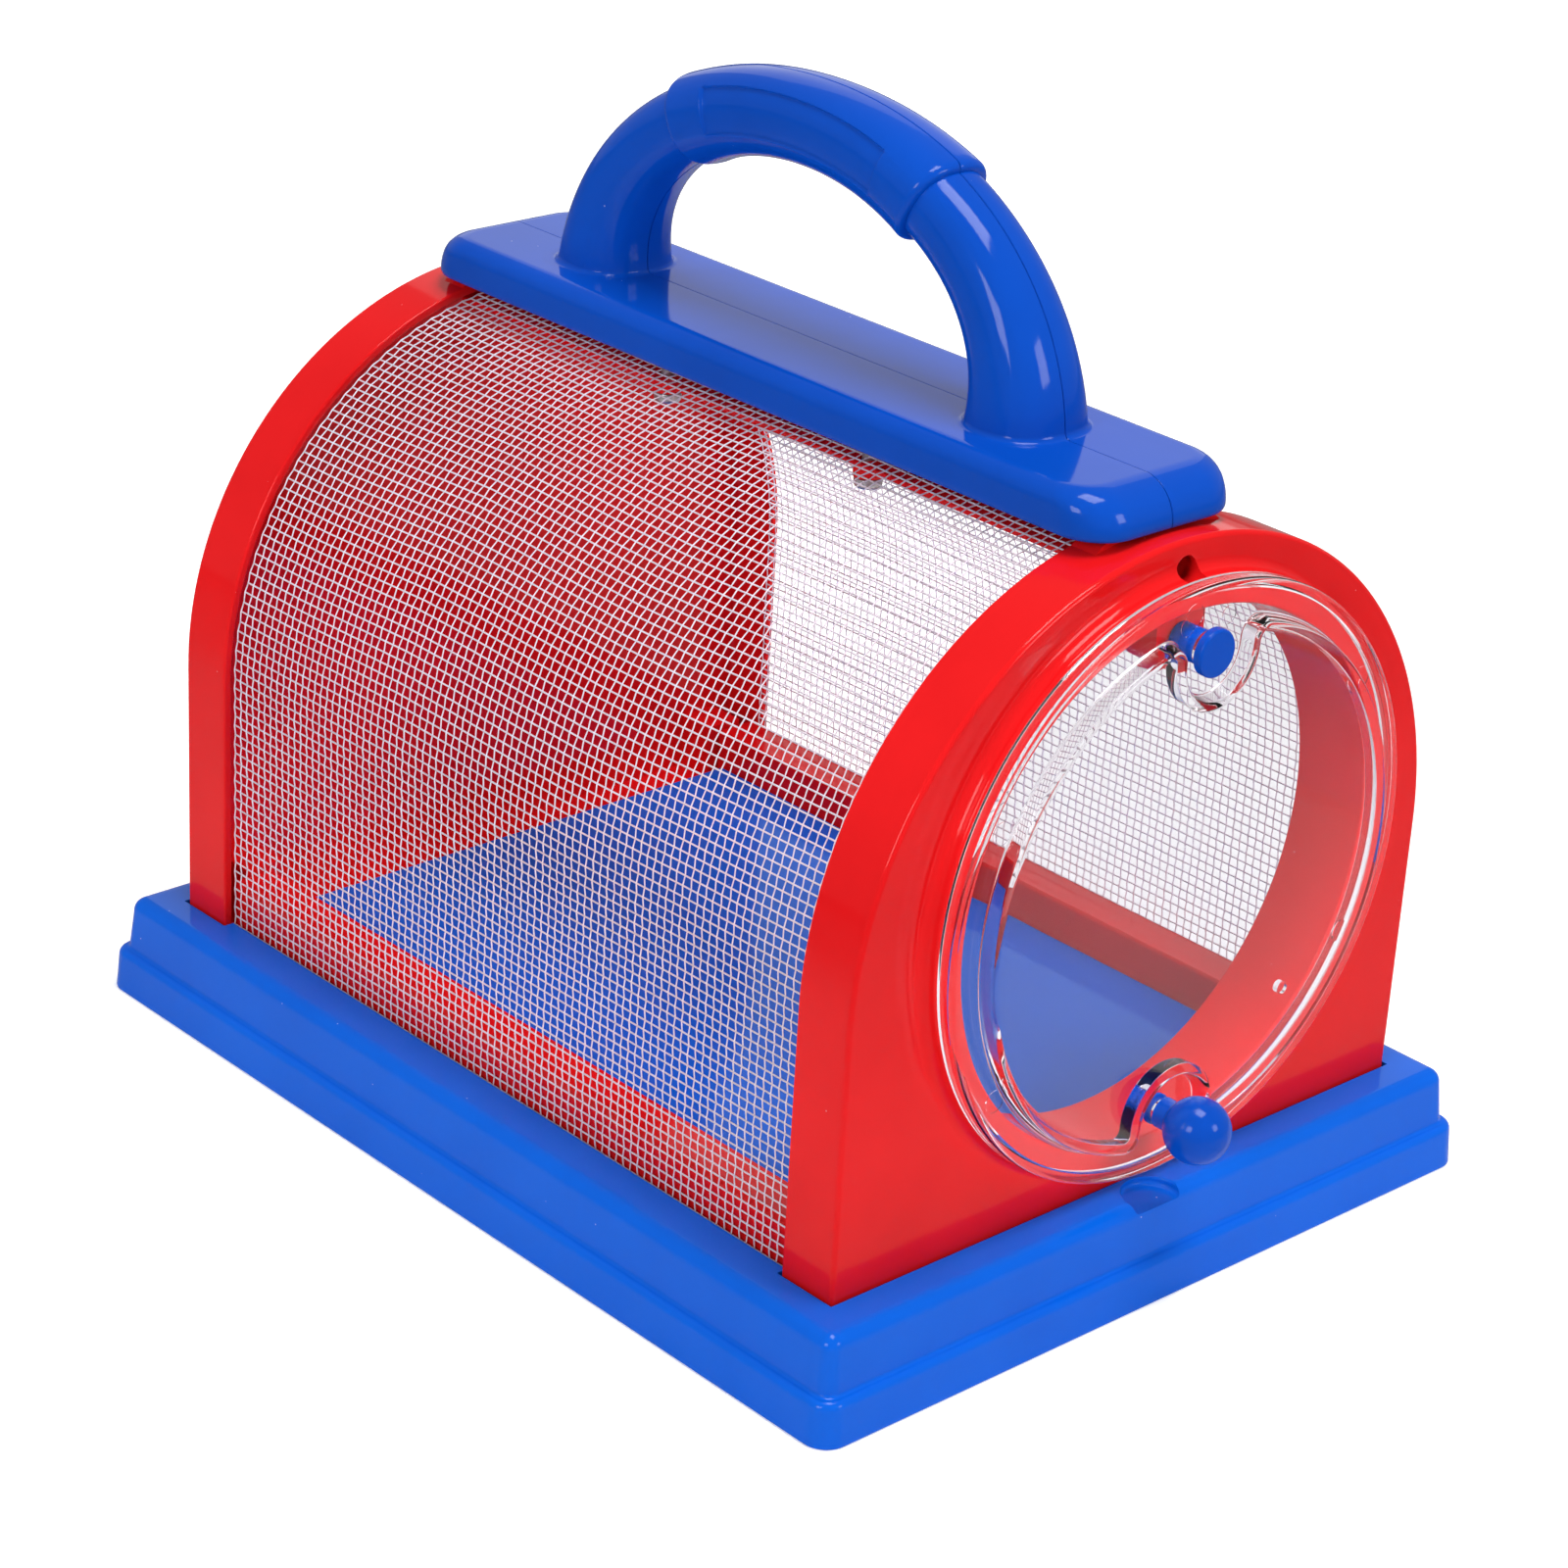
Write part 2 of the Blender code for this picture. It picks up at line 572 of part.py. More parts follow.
def make_rail(name, side, finish):
    """An upturned channel that lies in the deck and holds the lower edge of the screen."""
    outer, inner = FRAME_HALF_WIDTH, FRAME_HALF_WIDTH - RAIL_WIDTH
    outline = [(outer, FOOT_Z), (outer, RAIL_TOP - RAIL_EDGE), (outer - RAIL_EDGE, RAIL_TOP),
               (inner + RAIL_EDGE, RAIL_TOP), (inner, RAIL_TOP - RAIL_EDGE), (inner, FOOT_Z),
               (inner + RAIL_WALL, FOOT_Z), (inner + RAIL_WALL, RAIL_TOP - RAIL_WALL),
               (outer - RAIL_WALL, RAIL_TOP - RAIL_WALL), (outer - RAIL_WALL, FOOT_Z)]
    rail = prism(name + "_bar", [(side * x, z) for x, z in outline], -RAIL_REACH, RAIL_REACH)
    return piece(name, rail, finish)


def ridge_arc(radius, from_x, to_x, steps):
    points = []
    for step in range(steps + 1):
        x = from_x + (to_x - from_x) * step / steps
        points.append((x, arch_z(radius, x)))
    return points


def plate_screw_places():
    return [(x, y) for x in (-PLATE_SCREW_X, PLATE_SCREW_X) for y in (-PLATE_SCREW_Y, PLATE_SCREW_Y)]


def make_ridge(finish):
    """A curved strip with a stiffening rib, under the top of the screen."""
    under = FRAME_HALF_WIDTH - RIDGE_THICKNESS
    rib_z = ARCH_SPRING + under - RIDGE_RIB_DEPTH
    outline = ridge_arc(FRAME_HALF_WIDTH, -RIDGE_HALF_WIDTH, RIDGE_HALF_WIDTH, ARCH_STEPS // 3)
    outline += ridge_arc(under, RIDGE_HALF_WIDTH, RIDGE_RIB_HALF, ARCH_STEPS // 6)
    outline += [(RIDGE_RIB_HALF, rib_z), (-RIDGE_RIB_HALF, rib_z)]
    outline += ridge_arc(under, -RIDGE_RIB_HALF, -RIDGE_HALF_WIDTH, ARCH_STEPS // 6)
    beam = prism("ridge_bar", outline, -RIDGE_REACH, RIDGE_REACH)
    for x, y in plate_screw_places():
        cut(beam, cylinder("ridge_hole", SCREW_HOLE_RADIUS, (x, y, rib_z - OVERCUT),
                           (x, y, PLATE_BOTTOM + OVERCUT)))
    for facing in (-1, 1):
        tip = facing * (RIDGE_REACH - SCREW_LENGTH)
        cut(beam, cylinder("ridge_end_hole", SMALL_HOLE_RADIUS,
                           (0, facing * (RIDGE_REACH + OVERCUT), RIDGE_SCREW_Z), (0, tip, RIDGE_SCREW_Z)))
    return piece("ridge_beam", beam, finish)


def screen_point(climb):
    """A point (x, z) on the screen's outer line, at a distance up from where its leg starts to bend."""
    turn = max(climb, 0) / SCREEN_HALF_WIDTH
    return (SCREEN_HALF_WIDTH * math.cos(turn),
            ARCH_SPRING + min(climb, 0) + SCREEN_HALF_WIDTH * math.sin(turn))


def row_of_openings(start, end, count):
    """The two edges of each opening in a row, with a bar left between neighbours."""
    pitch = (end - start + SCREEN_BAR) / count
    return [(start + i * pitch, start + (i + 1) * pitch - SCREEN_BAR) for i in range(count)]


def screen_lines():
    """Distances of the screen's fold lines, foot to crest, and whether the strip above is open."""
    foot = FOOT_Z + SEAT_GAP - ARCH_SPRING
    first = DECK_HEIGHT + SCREEN_BAR - ARCH_SPRING
    shoulder = SCREEN_HALF_WIDTH * math.acos(RIDGE_HALF_WIDTH / SCREEN_HALF_WIDTH)
    crest = SCREEN_HALF_WIDTH * math.pi / 2
    lines = [(foot, False)]
    for low, high in row_of_openings(first, shoulder, SCREEN_ROWS):
        lines.append((low, True))
        if high > 0:
            lines.append(((low + high) / 2, True))
        lines.append((high, False))
    for step in range(1, CROWN_STEPS + 1):
        lines.append((shoulder + (crest - shoulder) * step / CROWN_STEPS, False))
    return lines


def make_screen(finish):
    """The screen bent over the frame in one sheet, its weave shown as a plain grid of openings."""
    reach = PANEL_BACK - SCREEN_BAR
    stops = [-SCREEN_REACH, SCREEN_REACH]
    for edges in row_of_openings(-reach, reach, SCREEN_COLUMNS):
        stops += edges
    stops.sort()
    shape = bmesh.new()
    lines = screen_lines()
    strips = []
    open_below = False
    for climb, open_above in lines:
        x, z = screen_point(climb)
        places = stops if open_below or open_above else (-SCREEN_REACH, SCREEN_REACH)
        strips.append([shape.verts.new((x, y, z)) for y in places])
        open_below = open_above
    for (_, is_open), lower, upper in zip(lines, strips, strips[1:]):
        if not is_open:
            shape.faces.new(lower + upper[::-1])
            continue
        for i in range(0, len(stops), 2):
            shape.faces.new((lower[i], lower[i + 1], upper[i + 1], upper[i]))
    sheet = tool("screen_sheet", mesh_of("screen_sheet", shape))
    other_side = sheet.modifiers.new("other_side", "MIRROR")
    other_side.merge_threshold = MERGE
    thickness = sheet.modifiers.new("thickness", "SOLIDIFY")
    thickness.thickness = SCREEN_THICKNESS
    thickness.use_even_offset = True
    crown = ARCH_SPRING + SCREEN_HALF_WIDTH
    for x, y in plate_screw_places():
        cut(sheet, cylinder("screen_hole", SCREW_HOLE_RADIUS, (x, y, crown - 3 * OVERCUT),
                            (x, y, crown + OVERCUT)))
    return piece("mesh_screen", sheet, finish)


def round_inset(radius, drop):
    """How far a quarter round stands in from its side, at a drop below its top."""
    rise = min(max(radius - drop, 0), radius)
    return radius - math.sqrt(radius ** 2 - rise ** 2)


def plate_ring(inset, drop):
    """The plate's outline moved in, at a drop below its top, with longer rounds at its two ends."""
    side = inset + round_inset(PLATE_ROUND, drop)
    end = inset + round_inset(PLATE_END_ROUND, drop)
    outline = rounded_rectangle(PLATE_WIDTH / 2 - side, PLATE_LENGTH / 2 - end,
                                max(PLATE_CORNER - side, SHELL_WALL))
    return [(x, y, PLATE_TOP - inset - drop) for x, y in outline]


def plate_drops():
    """Drops below the plate's top at which its rounds are followed, lowest first."""
    below = PLATE_END_ROUND - PLATE_ROUND
    drops = [PLATE_END_ROUND - below * step / PLATE_STEPS for step in range(PLATE_STEPS)]
    return drops + [PLATE_ROUND] + [PLATE_ROUND * (1 - sine) for _, sine in quarter(PLATE_STEPS)]


def full_curve(half_width, half_height, fullness, angle):
    """A point on an oval that is an ellipse at fullness 2 and squarer above it."""
    across, along = math.cos(angle), math.sin(angle)
    power = 2 / fullness
    return (half_width * math.copysign(abs(across) ** power, across),
            half_height * math.copysign(abs(along) ** power, along))


def angle_for(share, fullness):
    """The angle at which the sine's share of the oval's half height is reached."""
    return math.asin(share ** (fullness / 2))


def handle_path(angle):
    """Place and outward direction, both in (y, z), on the handle's middle line."""
    y, z = full_curve(HANDLE_SPAN, HANDLE_RISE, HANDLE_FULLNESS, angle)
    fall, climb = full_curve(1 / HANDLE_SPAN, 1 / HANDLE_RISE, 1 / (1 - 1 / HANDLE_FULLNESS), angle)
    return (y, PLATE_TOP + z), Vector((fall, climb)).normalized()


def handle_section(swell, recess, inset):
    """The bar's section as (x, outward) points, with a shallow panel in each side."""
    half_x = HANDLE_WIDTH / 2 + swell - inset
    half_n = HANDLE_THICKNESS / 2 + swell - inset
    edge = angle_for(RECESS_HEIGHT / 2 / half_n, SECTION_FULLNESS)
    floor = angle_for((RECESS_HEIGHT / 2 - RECESS_DEPTH) / half_n, SECTION_FULLNESS)
    rest = (math.pi / 2 - edge) / 3
    rise = [0, floor, edge, edge + rest, edge + 2 * rest]
    first = rise + [math.pi / 2] + [math.pi - angle for angle in rise[:0:-1]]
    points = []
    for angle in first + [angle + math.pi for angle in first]:
        x, n = full_curve(half_x, half_n, SECTION_FULLNESS, angle)
        if recess and abs(math.sin(angle)) < math.sin(edge) - MERGE:
            x = math.copysign(full_curve(half_x, half_n, SECTION_FULLNESS, edge)[0] - recess, x)
        points.append((x, n))
    return points


def leg_swell(angle):
    """How much the legs thicken toward the plate."""
    (_, z), _ = handle_path(angle)
    return LEG_SWELL * (1 - (z - PLATE_TOP) / HANDLE_RISE) ** 2


def grip_swell(angle):
    """How far the grip's sleeve stands out, most at its two ends."""
    (y, _), _ = handle_path(angle)
    return GRIP_SWELL + (GRIP_END_SWELL - GRIP_SWELL) * (y / GRIP_HALF_SPAN) ** 2


def handle_stations():
    """Angle, swell and recess of each section, from the +Y foot over to the -Y foot."""
    def angle_at(span):
        return math.pi / 2 - angle_for(span / HANDLE_SPAN, HANDLE_FULLNESS)

    fillet_angle = angle_for(FOOT_FILLET / HANDLE_RISE, HANDLE_FULLNESS)
    stations = []
    for cosine, sine in quarter(2):
        angle = fillet_angle * (1 - cosine)
        stations.append((angle, leg_swell(angle) + FOOT_FILLET * (1 - sine), 0))
    grip = angle_at(GRIP_HALF_SPAN)
    for step in range(1, 7):
        angle = fillet_angle + (grip - fillet_angle) * step / 6
        stations.append((angle, leg_swell(angle), 0))
    for cosine, sine in [(1, 0), *quarter(2)]:
        angle = angle_at(GRIP_HALF_SPAN - MERGE - GRIP_EDGE * (1 - cosine))
        stations.append((angle, grip_swell(angle) - GRIP_EDGE * (1 - sine), 0))
    recess = angle_at(RECESS_HALF_SPAN)
    stations.append((recess, grip_swell(recess), 0))
    inner = angle_at(RECESS_HALF_SPAN - RECESS_DEPTH)
    for step in range(7):
        angle = inner + (math.pi / 2 - inner) * step / 6
        stations.append((angle, grip_swell(angle), RECESS_DEPTH))
    mirrored = [(math.pi - angle, swell, recess) for angle, swell, recess in stations[-2::-1]]
    return stations + mirrored


def hollow_stations():
    """Even sections for the hollow inside the bar, which follows the legs but not the grip."""
    foot = angle_for(FOOT_FILLET / HANDLE_RISE, HANDLE_FULLNESS)
    angles = [foot + (math.pi - 2 * foot) * step / HOLLOW_STEPS for step in range(HOLLOW_STEPS + 1)]
    return [(angle, leg_swell(angle), 0) for angle in angles]


def handle_bar(name, stations, inset, foot_z):
    """The bar lofted along its path, with both ends carried straight down to foot_z."""
    rings = []
    for angle, swell, recess in stations:
        (y, z), outward = handle_path(angle)
        section = handle_section(swell, recess, inset)
        rings.append([(x, y + n * outward[0], z + n * outward[1]) for x, n in section])
    first = [(x, y, foot_z) for x, y, _ in rings[0]]
    last = [(x, y, foot_z) for x, y, _ in rings[-1]]
    return loft(name, [first] + rings + [last])


def make_handle_halves(left_name, right_name, finish):
    """Two hollow half shells, plate and bar together, that meet on the middle plane."""
    ceiling = PLATE_TOP - SHELL_WALL
    hollow_bar = handle_bar("bar_hollow", hollow_stations(), SHELL_WALL, ceiling - OVERCUT)
    hollow_plate = loft("plate_hollow", [plate_ring(SHELL_WALL, drop)
                                         for drop in [PLATE_HEIGHT + OVERCUT] + plate_drops()])
    boss_foot = arch_z(SCREEN_HALF_WIDTH, PLATE_SCREW_X - PLATE_BOSS_RADIUS) + SEAT_GAP
    pins = [handle_path(angle)[0] for angle in
            (LEG_PIN_ANGLE, GRIP_PIN_ANGLE, math.pi - GRIP_PIN_ANGLE, math.pi - LEG_PIN_ANGLE)]
    halves = []
    for name, side in ((left_name, -1), (right_name, 1)):
        half = handle_bar(name + "_bar", handle_stations(), 0, PLATE_TOP - SHELL_WALL / 2)
        rings = [plate_ring(PLATE_UNDER_EDGE, PLATE_HEIGHT - PLATE_UNDER_EDGE)]
        rings += [plate_ring(0, drop) for drop in [PLATE_HEIGHT - PLATE_UNDER_EDGE] + plate_drops()]
        join(half, loft(name + "_plate", rings))
        cut(half, hollow_bar, hollow_plate)
        for x, y in plate_screw_places():
            if x * side > 0:
                join(half, cylinder(name + "_boss", PLATE_BOSS_RADIUS, (x, y, boss_foot),
                                    (x, y, ceiling + SHELL_WALL / 2)))
                cut(half, cylinder(name + "_boss_hole", SCREW_HOLE_RADIUS, (x, y, boss_foot - OVERCUT),
                                   (x, y, ceiling)))
        wall_x = (HANDLE_WIDTH - SHELL_WALL) / 2
        for y, z in pins:
            join(half, cylinder(name + "_pin_boss", PIN_BOSS_RADIUS, (side * wall_x, y, z),
                                (-side * SEAT_GAP, y, z)))
        reach = PLATE_LENGTH
        keep_clear = sorted((side * SEAT_GAP / 2, -side * PLATE_WIDTH))
        cut(half, box(name + "_other_half", (keep_clear[0], -reach, PLATE_BOTTOM - OVERCUT),
                      (keep_clear[1], reach, 2 * PLATE_TOP)))
        for y, z in pins:
            if side < 0:
                join(half, cylinder(name + "_pin", PIN_RADIUS, (-SHELL_WALL, y, z), (PIN_LENGTH, y, z)))
            else:
                cut(half, cylinder(name + "_socket", PIN_RADIUS + SEAT_GAP, (-SHELL_WALL, y, z),
                                   (PIN_LENGTH + SEAT_GAP, y, z)))
        halves.append(piece(name, half, finish))
    return halves


def pocket(name, radius, up):
    """A round-ended slot that runs from a pocket's middle out past the window's edge."""
    middle = DOOR_CENTRE_Z + up * POCKET_REACH
    end = DOOR_CENTRE_Z + up * (DOOR_RADIUS + OVERCUT)
    outline = [(up * radius, end), (-up * radius, end)] + half_circle(radius, middle, -up)
    return prism(name, outline, at_front(0), at_front(WINDOW_FRONT + OVERCUT))


def make_door(finish):
    """A thin dish: rim, raised window, and pockets round the peg and the knob."""
    place = on_front(DOOR_CENTRE_Z)
    foot = RIM_FRONT - DOOR_WALL / 2
    door = turned("door_rim", [(0, RIM_FRONT), (DOOR_RADIUS - DOOR_EDGE_ROUND, RIM_FRONT),
                               (DOOR_RADIUS, RIM_FRONT - DOOR_EDGE_ROUND), (DOOR_RADIUS, DOOR_BACK),
                               (0, DOOR_BACK)], place)
    window = turned("window", [(0, WINDOW_FRONT), (WINDOW_RADIUS - DOOR_EDGE_ROUND, WINDOW_FRONT),
                               (WINDOW_RADIUS, WINDOW_FRONT - DOOR_EDGE_ROUND),
                               (WINDOW_RADIUS + WINDOW_DRAFT, foot), (0, foot)], place)
    inner_radius = WINDOW_RADIUS - DOOR_WALL
    inner_foot = RIM_FRONT - DOOR_WALL - OVERCUT / 4
    window_hollow = turned("window_hollow", [(0, WINDOW_FRONT - DOOR_WALL),
                                             (inner_radius, WINDOW_FRONT - DOOR_WALL),
                                             (inner_radius, inner_foot), (0, inner_foot)], place)
    rim_hollow = turned("rim_hollow", [(0, RIM_FRONT - DOOR_WALL),
                                       (DOOR_RADIUS - DOOR_WALL, RIM_FRONT - DOOR_WALL),
                                       (DOOR_RADIUS - DOOR_WALL, DOOR_BACK - OVERCUT),
                                       (0, DOOR_BACK - OVERCUT)], place)
    for up in (1, -1):
        cut(window, pocket("pocket", POCKET_RADIUS, up))
        cut(window_hollow, pocket("pocket_wall", POCKET_RADIUS + DOOR_WALL, up))
    join(door, window)
    cut(door, rim_hollow, window_hollow)
    for z, radius in ((PIVOT_Z, PEG_RADIUS + PEG_PLAY), (KNOB_Z, KNOB_STEM_RADIUS + SEAT_GAP)):
        cut(door, cylinder("door_hole", radius, (0, at_front(DOOR_BACK), z),
                           (0, at_front(WINDOW_FRONT + OVERCUT), z), SMALL_STEPS * 2))
    return piece("swing_door", door, finish)


def make_peg(finish):
    """A mushroom peg pushed through the door into the lug, held by its split, barbed tip."""
    under_head = RIM_FRONT + SEAT_GAP
    head = under_head + PEG_HEAD_HEIGHT
    shoulder = SEAT_GAP - LUG_SETBACK
    lug_back = -LUG_SETBACK - LUG_THICKNESS - SEAT_GAP
    tip = lug_back - PEG_BARB_LENGTH
    barb = PEG_NECK_RADIUS + PEG_BARB
    crown = PEG_HEAD_RADIUS / 8
    profile = [(0, head), (PEG_HEAD_RADIUS - crown, head), (PEG_HEAD_RADIUS, head - crown),
               (PEG_HEAD_RADIUS, under_head), (PEG_RADIUS, under_head), (PEG_RADIUS, shoulder),
               (PEG_NECK_RADIUS, shoulder), (PEG_NECK_RADIUS, lug_back), (barb, lug_back - PEG_BARB / 2),
               (PEG_NECK_RADIUS - PEG_BARB, tip), (0, tip)]
    peg = turned("peg_body", profile, on_front(PIVOT_Z), SMALL_STEPS)
    slit_end = at_front(-LUG_SETBACK - LUG_THICKNESS / 2)
    cut(peg, box("peg_slit", (-PEG_SLIT / 2, slit_end, PIVOT_Z - 2 * barb),
                 (PEG_SLIT / 2, at_front(tip - OVERCUT), PIVOT_Z + 2 * barb)))
    return piece("pivot_peg", peg, finish)


def make_knob(finish):
    """A ball on a short neck, whose stem goes through the door and is spread behind it."""
    seat = RIM_FRONT + SEAT_GAP
    back = RIM_FRONT - DOOR_WALL - SEAT_GAP
    profile = [(0, KNOB_CENTRE_HEIGHT + KNOB_RADIUS)]
    neck_angle = math.asin(KNOB_NECK_RADIUS / KNOB_RADIUS)
    for step in range(1, SMALL_STEPS // 2 + 1):
        angle = (math.pi - neck_angle) * step * 2 / SMALL_STEPS
        profile.append((KNOB_RADIUS * math.sin(angle), KNOB_CENTRE_HEIGHT + KNOB_RADIUS * math.cos(angle)))
    profile += [(KNOB_NECK_RADIUS, seat), (KNOB_STEM_RADIUS, seat), (KNOB_STEM_RADIUS, back),
                (KNOB_RIVET_RADIUS, back), (KNOB_RIVET_RADIUS, back - KNOB_RIVET_HEIGHT / 2),
                (KNOB_STEM_RADIUS, back - KNOB_RIVET_HEIGHT), (0, back - KNOB_RIVET_HEIGHT)]
    return piece("ball_knob", turned("knob_body", profile, on_front(KNOB_Z), SMALL_STEPS), finish)


def make_screw(name, seat, inward, radius, head_radius, length, finish):
    """A pan-head screw whose head sits at seat and whose shank points inward."""
    top = SCREW_HEAD_HEIGHT
    point = 2 * radius
    profile = [(0, top), (head_radius * SCREW_HEAD_FLAT, top), (head_radius, top / 2), (head_radius, 0),
               (radius, 0), (radius, point - length), (radius / 4, -length), (0, -length)]
    turn = Vector((0, 0, -1)).rotation_difference(Vector(inward)).to_matrix().to_4x4()
    body = turned(name + "_body", profile, Matrix.Translation(seat) @ turn, SCREW_STEPS)
    return piece(name, body, finish)


def make_screws(finish):
    ends = {-1: "front", 1: "rear"}
    sides = {-1: "left", 1: "right"}
    seat_z = CHANNEL_FLOOR - CHANNEL_WALL - SEAT_GAP
    for x, y in foot_screw_places():
        name = f"base_screw_{ends[int(math.copysign(1, y))]}_{sides[int(math.copysign(1, x))]}"
        make_screw(name, (x, y, seat_z), (0, 0, 1), SCREW_RADIUS, SCREW_HEAD_RADIUS, SCREW_LENGTH, finish)
    seat_z = arch_z(FRAME_HALF_WIDTH - RIDGE_THICKNESS, PLATE_SCREW_X + SCREW_HEAD_RADIUS) - SEAT_GAP
    for x, y in plate_screw_places():
        name = f"handle_screw_{ends[int(math.copysign(1, y))]}_{sides[int(math.copysign(1, x))]}"
        make_screw(name, (x, y, seat_z), (0, 0, 1), SCREW_RADIUS, SCREW_HEAD_RADIUS, SCREW_LENGTH, finish)
    reach = RIDGE_REACH + SEAT_GAP + BASE_WALL + SEAT_GAP
    for facing, end in ends.items():
        make_screw(f"ridge_screw_{end}", (0, facing * reach, RIDGE_SCREW_Z), (0, -facing, 0),
                   SMALL_SCREW_RADIUS, SMALL_SCREW_HEAD_RADIUS, SCREW_LENGTH, finish)


blue = material("blue_plastic", BLUE, 0.22)
red = material("red_plastic", RED, 0.2)
clear = material("clear_plastic", CLEAR, 0.05, transmission=1.0)
white = material("white_screen", WHITE, 0.5)
steel = material("screw_steel", STEEL, 0.35, metallic=1.0)

make_base(blue)
make_front_panel(red)
make_rear_panel(red)
make_rail("side_rail_left", -1, red)
make_rail("side_rail_right", 1, red)
make_ridge(red)
make_screen(white)
make_handle_halves("handle_left_half", "handle_right_half", blue)
make_peg(blue)
make_screws(steel)

door_axis = bpy.data.objects.new("door_swing_axis", None)
door_axis.location = (0, at_front(RIM_FRONT), PIVOT_Z)
PARTS.objects.link(door_axis)
bpy.context.view_layer.update()
for moving in (make_door(clear), make_knob(blue)):
    moving.parent = door_axis
    moving.matrix_parent_inverse = door_axis.matrix_world.inverted()

knob_tip = PANEL_REACH + KNOB_CENTRE_HEIGHT + KNOB_RADIUS
for made in [*PARTS.objects, *TOOLS.objects]:
    if made.parent is None:
        made.location.y += (knob_tip - BASE_LENGTH / 2) / 2
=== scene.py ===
"""Looks of an insect cage: blue, red and clear mouldings and a white woven screen.

Metres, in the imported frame: +Z up, the length along Y, the door end at -Y.
"""
import math

import bmesh
import bpy
from mathutils import Matrix, Vector


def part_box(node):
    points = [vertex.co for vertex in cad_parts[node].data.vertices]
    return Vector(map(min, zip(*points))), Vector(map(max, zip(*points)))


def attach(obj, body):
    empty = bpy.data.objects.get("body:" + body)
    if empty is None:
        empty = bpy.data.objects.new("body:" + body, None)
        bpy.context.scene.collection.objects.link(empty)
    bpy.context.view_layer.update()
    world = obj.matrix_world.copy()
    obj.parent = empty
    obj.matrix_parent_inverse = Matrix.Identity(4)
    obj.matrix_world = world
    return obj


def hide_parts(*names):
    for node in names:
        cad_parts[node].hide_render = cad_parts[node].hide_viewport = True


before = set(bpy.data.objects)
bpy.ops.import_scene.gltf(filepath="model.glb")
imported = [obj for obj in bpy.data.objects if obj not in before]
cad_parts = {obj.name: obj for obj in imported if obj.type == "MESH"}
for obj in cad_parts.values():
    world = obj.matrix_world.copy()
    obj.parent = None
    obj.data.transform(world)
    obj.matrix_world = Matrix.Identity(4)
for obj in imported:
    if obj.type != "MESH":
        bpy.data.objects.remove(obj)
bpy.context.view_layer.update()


# Base tray: one blue moulding, a stepped plinth with soft edges, hollow and ribbed underneath.
# A channel sunk round its deck takes the feet of the panels, the rails and the screen's lower edges.
# A small scoop in its front edge leaves room for a fingertip behind the knob.
MM = 0.001
base_low, base_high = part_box("base_tray")
MIDDLE_Y = (base_low.y + base_high.y) / 2
BASE_HALF_X = (base_high.x - base_low.x) / 2
BASE_HALF_Y = (base_high.y - base_low.y) / 2
DECK_Z = base_high.z
FLANGE_Z = 8.9 * MM
FLANGE_LEDGE = 1.9 * MM
FLANGE_ROUND = 1.6 * MM
DECK_ROUND = 2.8 * MM
LEDGE_FILLET = 0.7 * MM
RIM_ROUND = 0.5 * MM
BASE_CORNER = 5.0 * MM
DECK_CORNER = 2.9 * MM
BASE_SLOPE = math.tan(math.radians(4.5))
BASE_WALL = 2.2 * MM
DECK_WALL = 2.6 * MM
CHANNEL_DEPTH = 5.0 * MM
CHANNEL_WALL = 2.2 * MM
CHANNEL_GAP = 0.5 * MM
NOTCH_RADIUS = 6.0 * MM
NOTCH_DEPTH = 1.9 * MM
NOTCH_INSET = 1.4 * MM
NOTCH_FILLET = 0.9 * MM
NOTCH_LIP = 0.8 * MM
NOTCH_TILT = math.radians(4)
RIB_PITCH = 42.0 * MM
RIB_WALL = 1.8 * MM
RIB_DEPTH = 6.0 * MM
OVERCUT = 3.0 * MM
CORNER_STEPS = 12
HOLLOW_STEP = 0.2 * MM
POLE_MERGE = 0.002 * MM
BLUE = (0.002, 0.121, 0.69, 1.0)
BLUE_DEEP = (0.0015, 0.102, 0.62, 1.0)
SPECK = (0.72, 0.74, 0.78, 1.0)
SPECK_SCALE = 150.0
FLOW_SCALE = 26.0
SKIN_SCALE = 150.0
DUST_SCALE = 1400.0
SCUFF_SCALES = (2400.0, 160.0, 420.0)
PLASTIC_ROUGHNESS = 0.07
PLASTIC_SPECULAR = 0.16
SKIN_BUMP = 0.06
SKIN_RELIEF = 0.5 * MM


